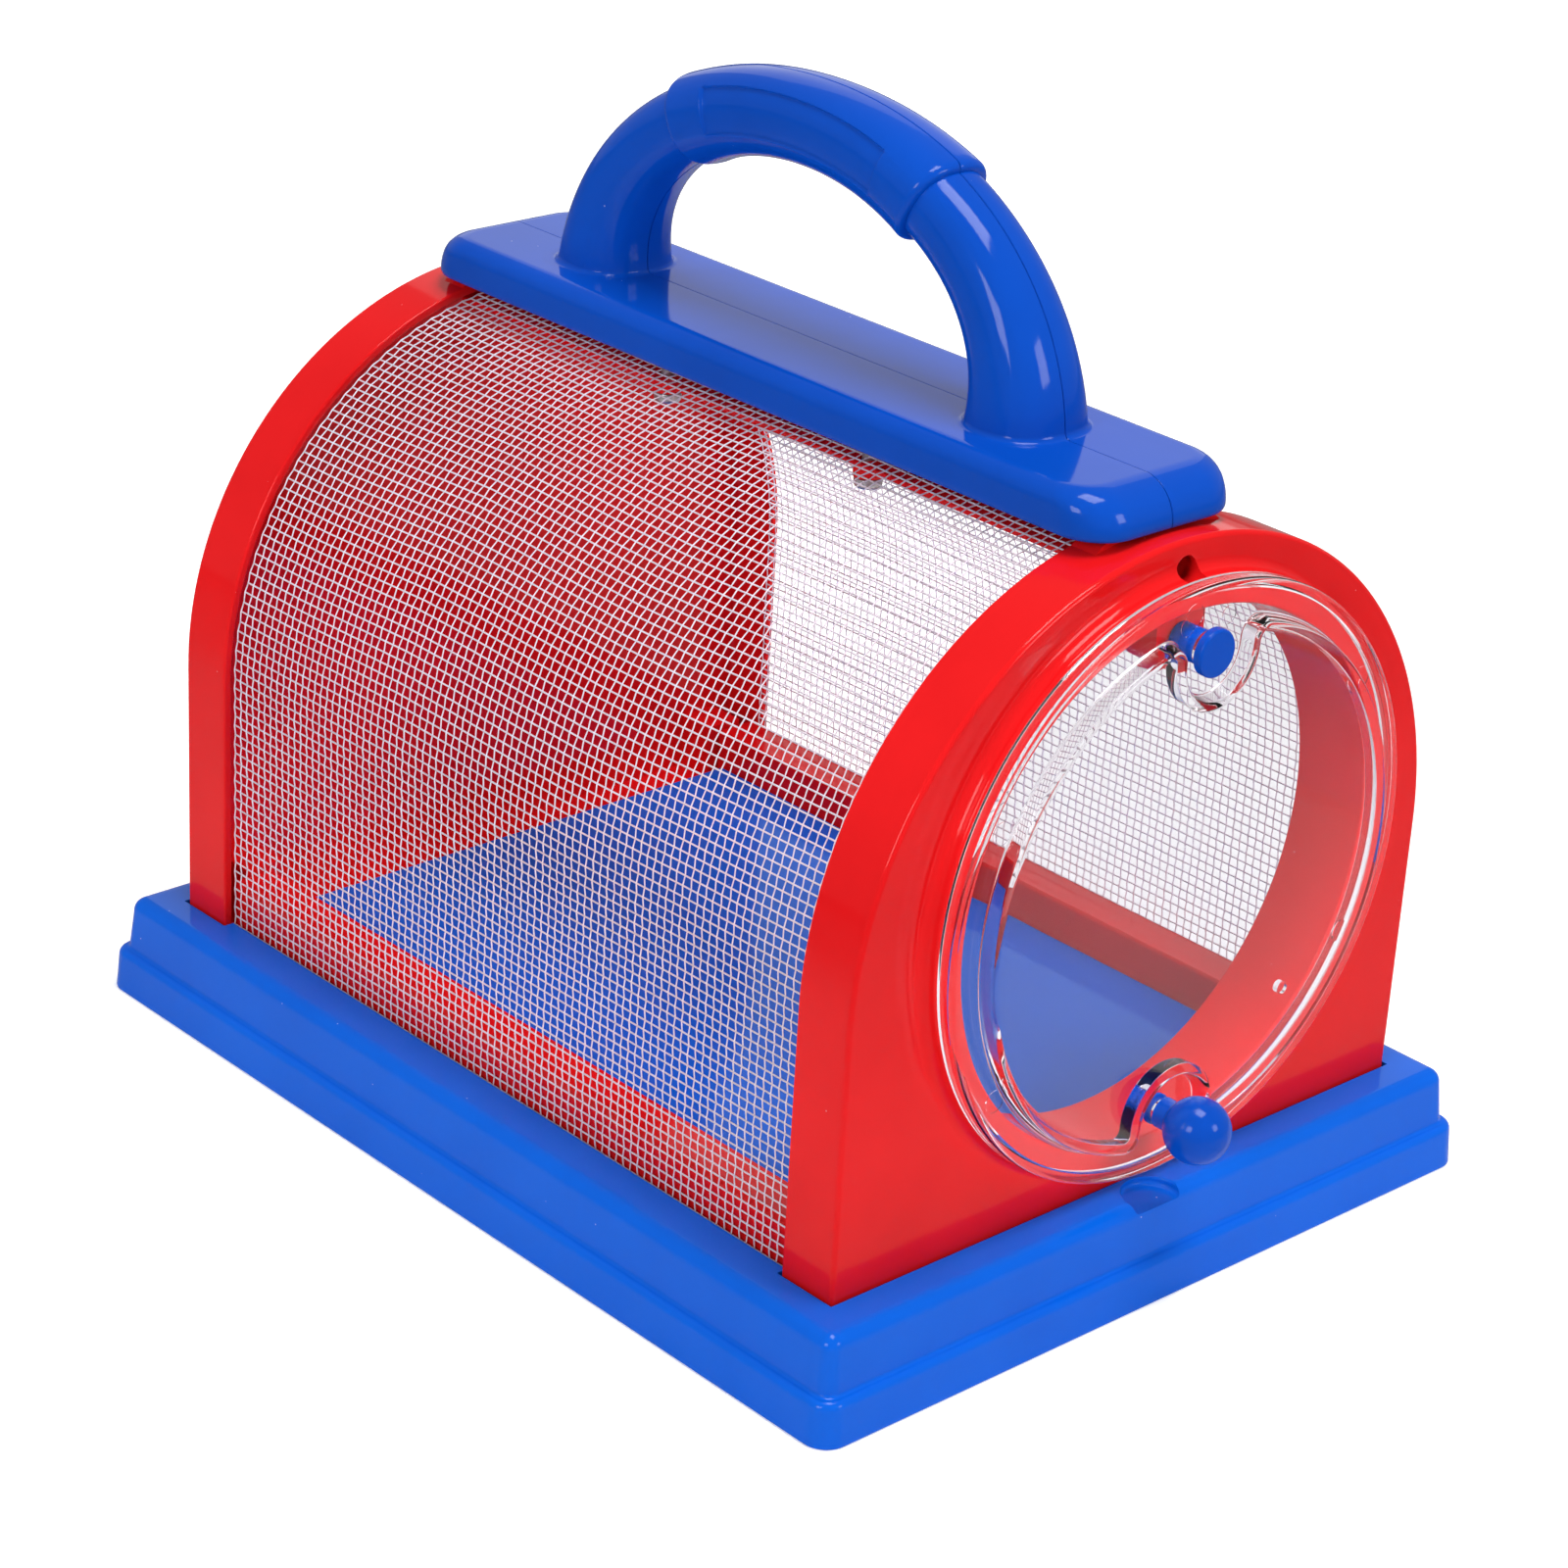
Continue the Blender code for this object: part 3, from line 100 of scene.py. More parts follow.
class Shade:
    """A node's output socket. Sums, differences and products of these add Math nodes to its tree."""

    def __init__(self, tree, socket):
        self.tree = tree
        self.socket = socket

    def feeds(self, node, name):
        self.tree.links.new(self.socket, node.inputs[name])

    def node(self, kind, settings, sockets, output=0):
        """Another node of this tree: its settings first, then its sockets' values or links."""
        made = self.tree.nodes.new(kind)
        for name, value in settings.items():
            setattr(made, name, value)
        for name, value in sockets.items():
            if isinstance(value, Shade):
                value.feeds(made, name)
            else:
                made.inputs[name].default_value = value
        return Shade(self.tree, made.outputs[output])

    def math(self, operation, *values):
        return self.node("ShaderNodeMath", {"operation": operation}, dict(enumerate(values)))

    def __add__(self, other):
        return self.math("ADD", self, other)

    __radd__ = __add__

    def __sub__(self, other):
        return self.math("SUBTRACT", self, other)

    def __rsub__(self, other):
        return self.math("SUBTRACT", other, self)

    def __mul__(self, other):
        return self.math("MULTIPLY", self, other)

    __rmul__ = __mul__

    def noise(self, scale, detail=2.0):
        """Noise on this vector, with grains of about one part in scale of a metre."""
        return self.node("ShaderNodeTexNoise", {}, {"Vector": self, "Scale": scale, "Detail": detail})

    def streaks(self, scales):
        """Noise on this vector with its own scale along each axis."""
        stretched = self.node("ShaderNodeVectorMath", {"operation": "MULTIPLY"}, {0: self, 1: scales})
        return stretched.noise(1.0, 1.0)

    def between(self, low, high):
        """This value stretched so that low gives 0 and high gives 1."""
        return self.node("ShaderNodeMapRange", {"clamp": True}, {"Value": self, 1: low, 2: high})

    def blend(self, first, second):
        """A colour between two others."""
        return self.node("ShaderNodeMix", {"data_type": "RGBA"}, {0: self, 6: first, 7: second}, 2)

    def ripples(self, shader):
        """Bumps a shader's surface by this height."""
        bump = {"Height": self, "Strength": SKIN_BUMP, "Distance": SKIN_RELIEF}
        self.node("ShaderNodeBump", {}, bump).feeds(shader, "Normal")


def new_material(name):
    """A material, its main shader and its Object coordinates."""
    made = bpy.data.materials.new(name)
    made.use_nodes = True
    tree = made.node_tree
    place = Shade(tree, tree.nodes.new("ShaderNodeTexCoord").outputs["Object"])
    return made, tree.nodes["Principled BSDF"], place


def moulded_plastic(name, colour, deep):
    """Glossy coloured plastic with faint flow marks, a slightly wavy skin, fine scuffs and a little dust."""
    made, shader, place = new_material(name)
    flow = place.noise(FLOW_SCALE, 3.0)
    skin = place.noise(SKIN_SCALE, 1.0)
    dust = place.noise(DUST_SCALE)
    scuff = place.streaks(SCUFF_SCALES).between(0.62, 0.74)
    speck = place.node("ShaderNodeTexVoronoi", {}, {"Vector": place, "Scale": SPECK_SCALE})
    moulded = flow.between(0.3, 0.7).blend(deep, colour)
    (0.5 * speck.between(0.026, 0.016)).blend(moulded, SPECK).feeds(shader, "Base Color")
    (PLASTIC_ROUGHNESS + 0.03 * dust + 0.04 * scuff).feeds(shader, "Roughness")
    (0.7 * skin + 0.12 * flow + 0.010 * dust).ripples(shader)
    shader.inputs["Specular IOR Level"].default_value = PLASTIC_SPECULAR
    return made


def steps_between(first, last, count):
    """Even steps after first, up to and with last."""
    return [first + (last - first) * step / count for step in range(1, count + 1)]


def arc_points(middle, radius, start, stop, steps):
    """Points on a circle from one angle to another, both included."""
    angles = [start] + steps_between(start, stop, steps)
    return [(middle[0] + radius * math.cos(angle), middle[1] + radius * math.sin(angle)) for angle in angles]


def round_off(corner, first, last, steps):
    """Points along a quarter round in a corner, from the corner plus first to the corner plus last."""
    points = []
    for angle in [0] + steps_between(0, math.pi / 2, steps):
        to_first, to_last = 1 - math.sin(angle), 1 - math.cos(angle)
        points.append([c + a * to_first + b * to_last for c, a, b in zip(corner, first, last)])
    return points


def skin_over(rings, ring_closed=False):
    """A skin over rings of equal length, capped at both ends or joined into a loop."""
    shape = bmesh.new()
    loops = [[shape.verts.new(point) for point in ring] for ring in rings]
    following = loops[1:] + loops[:1] if ring_closed else loops[1:]
    for lower, upper in zip(loops, following):
        for i in range(len(lower)):
            shape.faces.new((lower[i - 1], lower[i], upper[i], upper[i - 1]))
    if not ring_closed:
        shape.faces.new(loops[0])
        shape.faces.new(loops[-1])
    return shape


def block(low, high):
    shape = bmesh.new()
    low, high = Vector(low), Vector(high)
    place = Matrix.Translation((low + high) / 2) @ Matrix.Diagonal((*(high - low), 1.0))
    bmesh.ops.create_cube(shape, size=1.0, matrix=place)
    return shape


def rod(radius, start, end, steps=32):
    shape = bmesh.new()
    start, end = Vector(start), Vector(end)
    turn = Vector((0, 0, 1)).rotation_difference(end - start).to_matrix().to_4x4()
    bmesh.ops.create_cone(shape, cap_ends=True, segments=steps, radius1=radius, radius2=radius,
                          depth=(end - start).length, matrix=Matrix.Translation((start + end) / 2) @ turn)
    return shape


def placed(name, data):
    """A new object in the scene."""
    made = bpy.data.objects.new(name, data)
    bpy.context.scene.collection.objects.link(made)
    return made


def as_object(name, shape):
    """An object whose mesh is a finished shape, with its faces turned outwards."""
    bmesh.ops.recalc_face_normals(shape, faces=shape.faces[:])
    mesh = bpy.data.meshes.new(name)
    shape.to_mesh(mesh)
    shape.free()
    return placed(name, mesh)


def settle(piece):
    """Turns a piece and its modifiers into a plain mesh."""
    depsgraph = bpy.context.evaluated_depsgraph_get()
    made = bpy.data.meshes.new_from_object(piece.evaluated_get(depsgraph))
    piece.modifiers.clear()
    piece.data = made


def shape_with(piece, operation, *shapes):
    """Joins shapes to a piece or cuts them out of it."""
    others = [as_object("shaper", shape) for shape in shapes]
    for other in others:
        step = piece.modifiers.new("shaper", "BOOLEAN")
        step.operation = operation
        step.solver = "EXACT"
        step.object = other
    settle(piece)
    for other in others:
        bpy.data.objects.remove(other, do_unlink=True)


def dress(piece, finish, slot, body, *nodes, crease=38):
    """Gives a piece smooth shading, its finish, and its place in the frame."""
    piece.data.materials.clear()
    piece.data.materials.append(finish)
    piece.data.shade_smooth()
    piece.data.set_sharp_from_angle(angle=math.radians(crease))
    even = piece.modifiers.new("even_shading", "WEIGHTED_NORMAL")
    even.keep_sharp = True
    settle(piece)
    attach(piece, body)
    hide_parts(*nodes)


def base_ring(inset, z, corner=None):
    """Points round the base's outline, a rectangle with rounded corners, moved in by inset."""
    radius = max(BASE_CORNER - inset, BASE_WALL) if corner is None else corner
    points = []
    for turn, (side_x, side_y) in enumerate(((1, 1), (-1, 1), (-1, -1), (1, -1))):
        middle = (side_x * (BASE_HALF_X - inset - radius), MIDDLE_Y + side_y * (BASE_HALF_Y - inset - radius))
        start, stop = turn * math.pi / 2, (turn + 1) * math.pi / 2
        points += [(x, y, z) for x, y in arc_points(middle, radius, start, stop, CORNER_STEPS)]
    return points


def turned(profile, place, steps=64):
    """A profile of (radius, height), from the top of the axis round to its foot, turned about Z."""
    shape = bmesh.new()
    line = [shape.verts.new((radius, 0, height)) for radius, height in profile]
    edges = [shape.edges.new(pair) for pair in zip(line, line[1:])]
    bmesh.ops.spin(shape, geom=line + edges, axis=(0, 0, 1), cent=(0, 0, 0), angle=2 * math.pi, steps=steps)
    bmesh.ops.remove_doubles(shape, verts=shape.verts[:], dist=POLE_MERGE)
    bmesh.ops.transform(shape, matrix=place, verts=shape.verts[:])
    return shape


blue_plastic = moulded_plastic("blue_plastic_moulded", BLUE, BLUE_DEEP)
flange_inset = (FLANGE_Z - FLANGE_ROUND) * BASE_SLOPE
ledge_inset = FLANGE_Z * BASE_SLOPE + FLANGE_LEDGE
deck_inset = ledge_inset + (DECK_Z - FLANGE_Z) * BASE_SLOPE
side_path = [*round_off((0, 0), (RIM_ROUND, 0), (0, RIM_ROUND), 3),
             *round_off((flange_inset, FLANGE_Z), (0, -FLANGE_ROUND), (FLANGE_ROUND, 0), 6),
             *round_off((ledge_inset, FLANGE_Z, DECK_CORNER), (-LEDGE_FILLET, 0, 0), (0, LEDGE_FILLET, 0), 4),
             *round_off((deck_inset - DECK_ROUND * BASE_SLOPE, DECK_Z, DECK_CORNER), (0, -DECK_ROUND, 0),
                        (DECK_ROUND * (1 + BASE_SLOPE), 0, -DECK_ROUND), 8)]
base = as_object("base_moulding", skin_over([base_ring(*point) for point in side_path]))

ceiling = DECK_Z - DECK_WALL
step_z = FLANGE_Z - BASE_WALL
shape_with(base, "DIFFERENCE", skin_over([
    base_ring(BASE_WALL, -OVERCUT), base_ring(BASE_WALL + step_z * BASE_SLOPE, step_z),
    base_ring(ledge_inset + BASE_WALL, step_z + HOLLOW_STEP), base_ring(deck_inset + BASE_WALL, ceiling)]))

rear_low, rear_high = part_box("rear_end_panel")
PANEL_HALF_X = rear_high.x
PANEL_NEAR = rear_low.y - MIDDLE_Y
PANEL_FAR = rear_high.y - MIDDLE_Y
SCREEN_HALF_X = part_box("mesh_screen")[1].x
rail_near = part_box("side_rail_right")[0].x - CHANNEL_GAP
block_top = DECK_Z - DECK_WALL / 2
walls, channels = [], []


def add_channel(low_x, high_x, low_y, high_y, end_wall):
    """A channel to cut in the deck, and a block under the deck for its walls and floor."""
    low_y, high_y, floor_z = MIDDLE_Y + low_y, MIDDLE_Y + high_y, DECK_Z - CHANNEL_DEPTH
    walls.append(block((low_x - CHANNEL_WALL, low_y - end_wall, floor_z - CHANNEL_WALL),
                       (high_x + CHANNEL_WALL, high_y + end_wall, block_top)))
    channels.append(block((low_x, low_y, floor_z), (high_x, high_y, DECK_Z + OVERCUT)))


for side in (-1, 1):
    reach = PANEL_HALF_X + CHANNEL_GAP
    near, far = sorted((side * (PANEL_NEAR - CHANNEL_GAP), side * (PANEL_FAR + CHANNEL_GAP)))
    add_channel(-reach, reach, near, far, CHANNEL_WALL)
    left, right = sorted((side * rail_near, side * (SCREEN_HALF_X + CHANNEL_GAP)))
    add_channel(left, right, -PANEL_NEAR, PANEL_NEAR, 0)
rib_reach = rail_near - CHANNEL_WALL / 2
for place in (-1, 0, 1):
    rib_y = MIDDLE_Y + place * RIB_PITCH
    walls.append(block((-rib_reach, rib_y - RIB_WALL / 2, ceiling - RIB_DEPTH),
                       (rib_reach, rib_y + RIB_WALL / 2, block_top)))
notch_y = MIDDLE_Y - (BASE_HALF_Y - deck_inset - NOTCH_INSET)
notch_wall = NOTCH_RADIUS + BASE_WALL
walls.append(block((-notch_wall, notch_y, DECK_Z - NOTCH_DEPTH - BASE_WALL),
                   (notch_wall, notch_y + notch_wall, block_top)))
shape_with(base, "UNION", *walls)
notch = [(0, OVERCUT), (NOTCH_RADIUS + NOTCH_LIP, OVERCUT),
         *round_off((NOTCH_RADIUS, 0), (NOTCH_LIP, 0), (0, -NOTCH_LIP), 5),
         *round_off((NOTCH_RADIUS, -NOTCH_DEPTH), (0, NOTCH_FILLET), (-NOTCH_FILLET, 0), 6),
         (0, -NOTCH_DEPTH)]
tilted = Matrix.Translation((0, notch_y, DECK_Z)) @ Matrix.Rotation(NOTCH_TILT, 4, "X")
channels.append(turned(notch, tilted, 48))
shape_with(base, "DIFFERENCE", *channels)
dress(base, blue_plastic, "blue_plastic", "cage", "base_tray")


# End panels: two red arched shells that stand in the base's channel and carry everything above it.
# The front one has a round doorway with a raised collar, a tunnel behind it and a lug for the peg.
# Each crown carries a flat seat, hidden under the blue plate, and has a deep hole for a screw.
FACE_Y = MIDDLE_Y - PANEL_FAR
PANEL_DEPTH = PANEL_FAR - PANEL_NEAR
FOOT_Z = rear_low.z
SEAT_Z = rear_high.z
ARCH_SPRING = 72.3 * MM
PANEL_WALL = 1.9 * MM
PANEL_FACE_WALL = 2.3 * MM
PANEL_EDGE_ROUND = 1.0 * MM
PANEL_BACK_ROUND = 0.5 * MM
PANEL_INNER_ROUND = 0.8 * MM
SEAT_HALF_FLAT = 12.0 * MM
SEAT_HALF_WIDTH = 17.5 * MM
SEAT_INSET = 3.0 * MM
SEAT_SETBACK = 0.4 * MM
SEAT_STEPS = 24
plate_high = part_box("handle_right_half")[1]
PLATE_HALF_Y = plate_high.y - MIDDLE_Y
DOOR_Z = 82.3 * MM
DOORWAY_RADIUS = 51.5 * MM
TUNNEL_WALL = 2.2 * MM
COLLAR_RADIUS = 57.0 * MM
COLLAR_HEIGHT = 3.2 * MM
COLLAR_FILLET = 2.4 * MM
COLLAR_EDGE = 0.8 * MM
PIVOT_Z = 127.5 * MM
LUG_RADIUS = 6.0 * MM
LUG_SETBACK = 0.6 * MM
LUG_THICKNESS = 8.0 * MM
LUG_STEPS = 24
CROWN_SCREW_Z = 140.1 * MM
CROWN_HOLE = 2.6 * MM
BOSS_RADIUS = 4.0 * MM
BOSS_LENGTH = 6.4 * MM
BOSS_FLOOR = 2.2 * MM
FOOT_SCREW_X = 62.0 * MM
FOOT_BLOCK = (9.0 * MM, 14.0 * MM)
FOOT_SETBACK = 2.0 * MM
SOLE_STEPS = 36
LEG_STEPS = 16
ARCH_STEPS = 128
RED = (0.78, 0.009, 0.011, 1.0)
RED_DEEP = (0.68, 0.006, 0.008, 1.0)


def arch_at(radius, x):
    """The height of an arch of this radius at a place across it."""
    return ARCH_SPRING + math.sqrt(radius ** 2 - x ** 2)


def arch_outline(inset, foot=FOOT_Z):
    """(x, z) points along the sole, up one leg, over the arch and down the other leg."""
    half = PANEL_HALF_X - inset
    leg = steps_between(foot, ARCH_SPRING, LEG_STEPS)[:-1]
    points = [(-half, foot)] + [(x, foot) for x in steps_between(-half, half, SOLE_STEPS)]
    points += [(half, z) for z in leg] + arc_points((0, ARCH_SPRING), half, 0, math.pi, ARCH_STEPS)
    return points + [(-half, z) for z in leg[::-1]]


def doorway_circle(radius):
    """Points of a circle about the door's middle that lie towards those of the arch's outline."""
    points = []
    for x, z in arch_outline(0):
        angle = math.atan2(z - DOOR_Z, x)
        points.append((radius * math.cos(angle), DOOR_Z + radius * math.sin(angle)))
    return points


def at_depth(outline, depth, end):
    """An outline set back into the front panel (end -1) or the rear one (end 1)."""
    return [(x, MIDDLE_Y + end * (PANEL_FAR - depth), z) for x, z in outline]


def facing_out(z, end=-1):
    """Turns a shape made around +Z to stand out of an end panel's face, at height z."""
    turn = Matrix.Rotation(math.radians(-90 * end), 4, "X")
    return Matrix.Translation((0, MIDDLE_Y + end * PANEL_FAR, z)) @ turn


def add_shapes(piece, *shapes):
    """Adds closed shapes to a piece's mesh as they are."""
    whole = bmesh.new()
    whole.from_mesh(piece.data)
    for shape in shapes:
        other = as_object("part", shape)
        whole.from_mesh(other.data)
        bpy.data.objects.remove(other, do_unlink=True)
    whole.to_mesh(piece.data)
    whole.free()


def panel_rim(end):
    """Rings over the edge round, along the outside to the open back, and in again to the inner face."""
    edge, back, inner = PANEL_EDGE_ROUND, PANEL_BACK_ROUND, PANEL_INNER_ROUND
    outside = [*round_off((0, 0), (edge, 0), (0, edge), 8),
               *round_off((0, PANEL_DEPTH), (0, -back), (back, 0), 3)]
    inside = [*round_off((PANEL_WALL, PANEL_DEPTH), (-back, 0), (0, -back), 3),
              *round_off((PANEL_WALL, PANEL_FACE_WALL), (0, inner), (inner, 0), 3)]
    rings = [at_depth(arch_outline(inset), depth, end) for inset, depth in outside]
    rings += [at_depth(arch_outline(inset, FOOT_Z + PANEL_WALL), depth, end) for inset, depth in inside]
    return rings


def doorway_rings():
    """Rings from the inner face round the tunnel's back, out through the doorway and over the collar."""
    tunnel, back, inner = DOORWAY_RADIUS + TUNNEL_WALL, PANEL_BACK_ROUND, PANEL_INNER_ROUND
    path = [(tunnel + inner, PANEL_FACE_WALL), (tunnel, PANEL_FACE_WALL + inner),
            *round_off((tunnel, PANEL_DEPTH), (0, -back), (-back, 0), 3),
            *round_off((DOORWAY_RADIUS, PANEL_DEPTH), (back, 0), (0, -back), 3),
            *round_off((DOORWAY_RADIUS, -COLLAR_HEIGHT), (0, back), (back, 0), 3),
            *round_off((COLLAR_RADIUS, -COLLAR_HEIGHT), (-COLLAR_EDGE, 0), (0, COLLAR_EDGE), 4),
            *round_off((COLLAR_RADIUS, 0), (0, -COLLAR_FILLET), (COLLAR_FILLET, 0), 6)]
    return [at_depth(doorway_circle(radius), depth, -1) for radius, depth in path]


def plate_seat(end):
    """The flat on the crown that carries the plate and falls to the arch inside the plate's edge."""
    top, under = [], []
    for step in range(-SEAT_STEPS, SEAT_STEPS + 1):
        x = SEAT_HALF_WIDTH * step / SEAT_STEPS
        root = arch_at(PANEL_HALF_X, x) - PANEL_WALL / 3
        slope = max(abs(x) - SEAT_HALF_FLAT, 0) / (SEAT_HALF_WIDTH - SEAT_HALF_FLAT)
        top.append((x, root + (SEAT_Z - root) * (1 + math.cos(math.pi * slope)) / 2))
        under.append((x, root - PANEL_WALL / 3))
    depths = (PANEL_FAR - PLATE_HALF_Y + SEAT_INSET, PANEL_DEPTH - SEAT_SETBACK)
    return skin_over([at_depth(top + under[::-1], depth, end) for depth in depths])


def panel_fittings(end):
    """The plate's seat, feet for the base's screws and a hollow boss behind the crown's hole."""
    shapes = [plate_seat(end)]
    near, far = sorted((end * (PANEL_NEAR + FOOT_SETBACK), end * (PANEL_FAR - PANEL_FACE_WALL / 2)))
    width, height = FOOT_BLOCK
    for x in (-FOOT_SCREW_X, FOOT_SCREW_X):
        shapes.append(block((x - width / 2, MIDDLE_Y + near, FOOT_Z),
                            (x + width / 2, MIDDLE_Y + far, FOOT_Z + height)))
    back = -PANEL_FACE_WALL - BOSS_LENGTH
    front = -PANEL_FACE_WALL / 2
    floor_z = back + BOSS_FLOOR
    boss = [(0, floor_z), (CROWN_HOLE, floor_z), (CROWN_HOLE, front), (BOSS_RADIUS, front),
            (BOSS_RADIUS, back), (0, back)]
    return shapes + [turned(boss, facing_out(CROWN_SCREW_Z, end), 32)]


def crown_hole(end):
    depths = (-OVERCUT, PANEL_FACE_WALL + OVERCUT)
    return rod(CROWN_HOLE, *[(0, MIDDLE_Y + end * (PANEL_FAR - depth), CROWN_SCREW_Z) for depth in depths])


def pivot_lug():
    """The tongue that hangs from the top of the doorway and takes the door's peg."""
    top = DOOR_Z + DOORWAY_RADIUS + TUNNEL_WALL / 2
    outline = [(LUG_RADIUS, top), (-LUG_RADIUS, top),
               *arc_points((0, PIVOT_Z), LUG_RADIUS, math.pi, 2 * math.pi, LUG_STEPS)]
    return skin_over([at_depth(outline, depth, -1) for depth in (LUG_SETBACK, LUG_SETBACK + LUG_THICKNESS)])


red_plastic = moulded_plastic("red_plastic_moulded", RED, RED_DEEP)
front_panel = as_object("front_panel_moulding", skin_over(doorway_rings() + panel_rim(-1), ring_closed=True))
rear_panel = as_object("rear_panel_moulding", skin_over(panel_rim(1)))
shape_with(front_panel, "DIFFERENCE", crown_hole(-1))
shape_with(rear_panel, "DIFFERENCE", crown_hole(1))
add_shapes(front_panel, pivot_lug(), *panel_fittings(-1))
add_shapes(rear_panel, *panel_fittings(1))
dress(front_panel, red_plastic, "red_plastic", "cage", "front_end_panel")
dress(rear_panel, red_plastic, "red_plastic", "cage", "rear_end_panel")


# Side rails: red mouldings that lie in the base's channel and pin the screen's lower edges.
# Their plain lengths come from the frame, with the edges softened as the mould leaves them.
RAIL_EDGE = 0.35 * MM
EDGE_SEGMENTS = 3
EDGE_ANGLE = math.radians(50)
FLAT_ANGLE = math.radians(1)
RAIL_MERGE = 0.005 * MM


def soften(piece, width):
    """Rounds a piece's edges."""
    edge = piece.modifiers.new("edge", "BEVEL")
    edge.width = width
    edge.segments = EDGE_SEGMENTS
    edge.limit_method = "ANGLE"
    edge.angle_limit = EDGE_ANGLE
    settle(piece)


for node in ("side_rail_left", "side_rail_right"):
    shape = bmesh.new()
    shape.from_mesh(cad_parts[node].data)
    bmesh.ops.remove_doubles(shape, verts=shape.verts[:], dist=RAIL_MERGE)
    bmesh.ops.dissolve_limit(shape, angle_limit=FLAT_ANGLE, verts=shape.verts[:], edges=shape.edges[:])
    rail = as_object(node + "_moulding", shape)
    soften(rail, RAIL_EDGE)
    dress(rail, red_plastic, "red_plastic", "cage", node)


# Ridge beam: a narrow red moulding under the top of the screen, which the plate is screwed to.
# It is a thin curved strip with a rib along its middle and a pad round each of the plate's screws.
# A screw through each panel's crown goes into its end.
BEAM_HALF_X = 13.0 * MM
BEAM_WALL = 1.2 * MM
BEAM_RIB_HALF = 3.5 * MM
BEAM_RIB_DEPTH = 4.2 * MM
BEAM_ARC_STEPS = 12
BEAM_PAD_RADIUS = 2.9 * MM
BEAM_PAD_DEPTH = 3.0 * MM
BEAM_HOLE = 1.7 * MM
BEAM_END_HOLE = 1.5 * MM
beam_low, beam_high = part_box("ridge_beam")
BEAM_RADIUS = beam_high.z - ARCH_SPRING


def beam_arc(radius, start, stop):
    """(x, z) points over an arch of this radius, from one place across it to another."""
    return [(x, arch_at(radius, x)) for x in [start] + steps_between(start, stop, BEAM_ARC_STEPS)]


under = BEAM_RADIUS - BEAM_WALL
rib_z = beam_high.z - BEAM_RIB_DEPTH
beam_outline = (beam_arc(BEAM_RADIUS, -BEAM_HALF_X, BEAM_HALF_X) + beam_arc(under, BEAM_HALF_X, BEAM_RIB_HALF)
                + [(BEAM_RIB_HALF, rib_z), (-BEAM_RIB_HALF, rib_z)]
                + beam_arc(under, -BEAM_RIB_HALF, -BEAM_HALF_X))
beam = as_object("ridge_beam_moulding", skin_over([[(x, y, z) for x, z in beam_outline]
                                                   for y in (beam_low.y, beam_high.y)]))
soften(beam, RAIL_EDGE)
pads, holes = [], []
for end in ("front", "rear"):
    for side in ("left", "right"):
        low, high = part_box(f"handle_screw_{end}_{side}")
        x, y = (low.x + high.x) / 2, (low.y + high.y) / 2
        pad_z = arch_at(BEAM_RADIUS - BEAM_PAD_DEPTH, abs(x) + (high.x - low.x) / 2)
        pads.append(rod(BEAM_PAD_RADIUS, (x, y, pad_z),
                        (x, y, arch_at(BEAM_RADIUS, abs(x) + BEAM_PAD_RADIUS) - BEAM_WALL / 4)))
        holes.append(rod(BEAM_HOLE, (x, y, pad_z - OVERCUT), (x, y, beam_high.z + OVERCUT)))
    low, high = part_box(f"ridge_screw_{end}")
    mouth, tip = (beam_low.y - OVERCUT, high.y) if end == "front" else (beam_high.y + OVERCUT, low.y)
    holes.append(rod(BEAM_END_HOLE, (0, mouth, CROWN_SCREW_Z), (0, tip, CROWN_SCREW_Z)))
shape_with(beam, "UNION", *pads)
shape_with(beam, "DIFFERENCE", *holes)
dress(beam, red_plastic, "red_plastic", "cage", "ridge_beam")


# Screws: zinc-plated pan heads with a cross recess, driven up into the panels' feet and the handle
# and, through the panels' crowns, into the ends of the ridge beam. Only their heads can be seen.
# One screw is turned here and set at each frame node's place by Geometry Nodes.
SCREW_STEPS = 24
SCREW_HEAD = 1.9 * MM
SCREW_SHANK = 0.52
SCREW_FLAT = 0.7
SCREW_CHAMFER = (0.96, 0.1)
RECESS_WIDTH = 0.55
RECESS_DEPTH = 0.6
STEEL = (0.60, 0.60, 0.58, 1.0)
STEEL_DULL = (0.42, 0.42, 0.43, 1.0)
MOTTLE_SCALE = 900.0


def zinc_steel():
    """Bright zinc over steel, faintly mottled and brushed by the driver."""
    made, shader, place = new_material("zinc_plated_steel")
    mottle = place.noise(MOTTLE_SCALE, 3.0)
    mottle.between(0.35, 0.65).blend(STEEL_DULL, STEEL).feeds(shader, "Base Color")
    (0.24 + 0.22 * mottle).feeds(shader, "Roughness")
    shader.inputs["Metallic"].default_value = 1.0
    return made


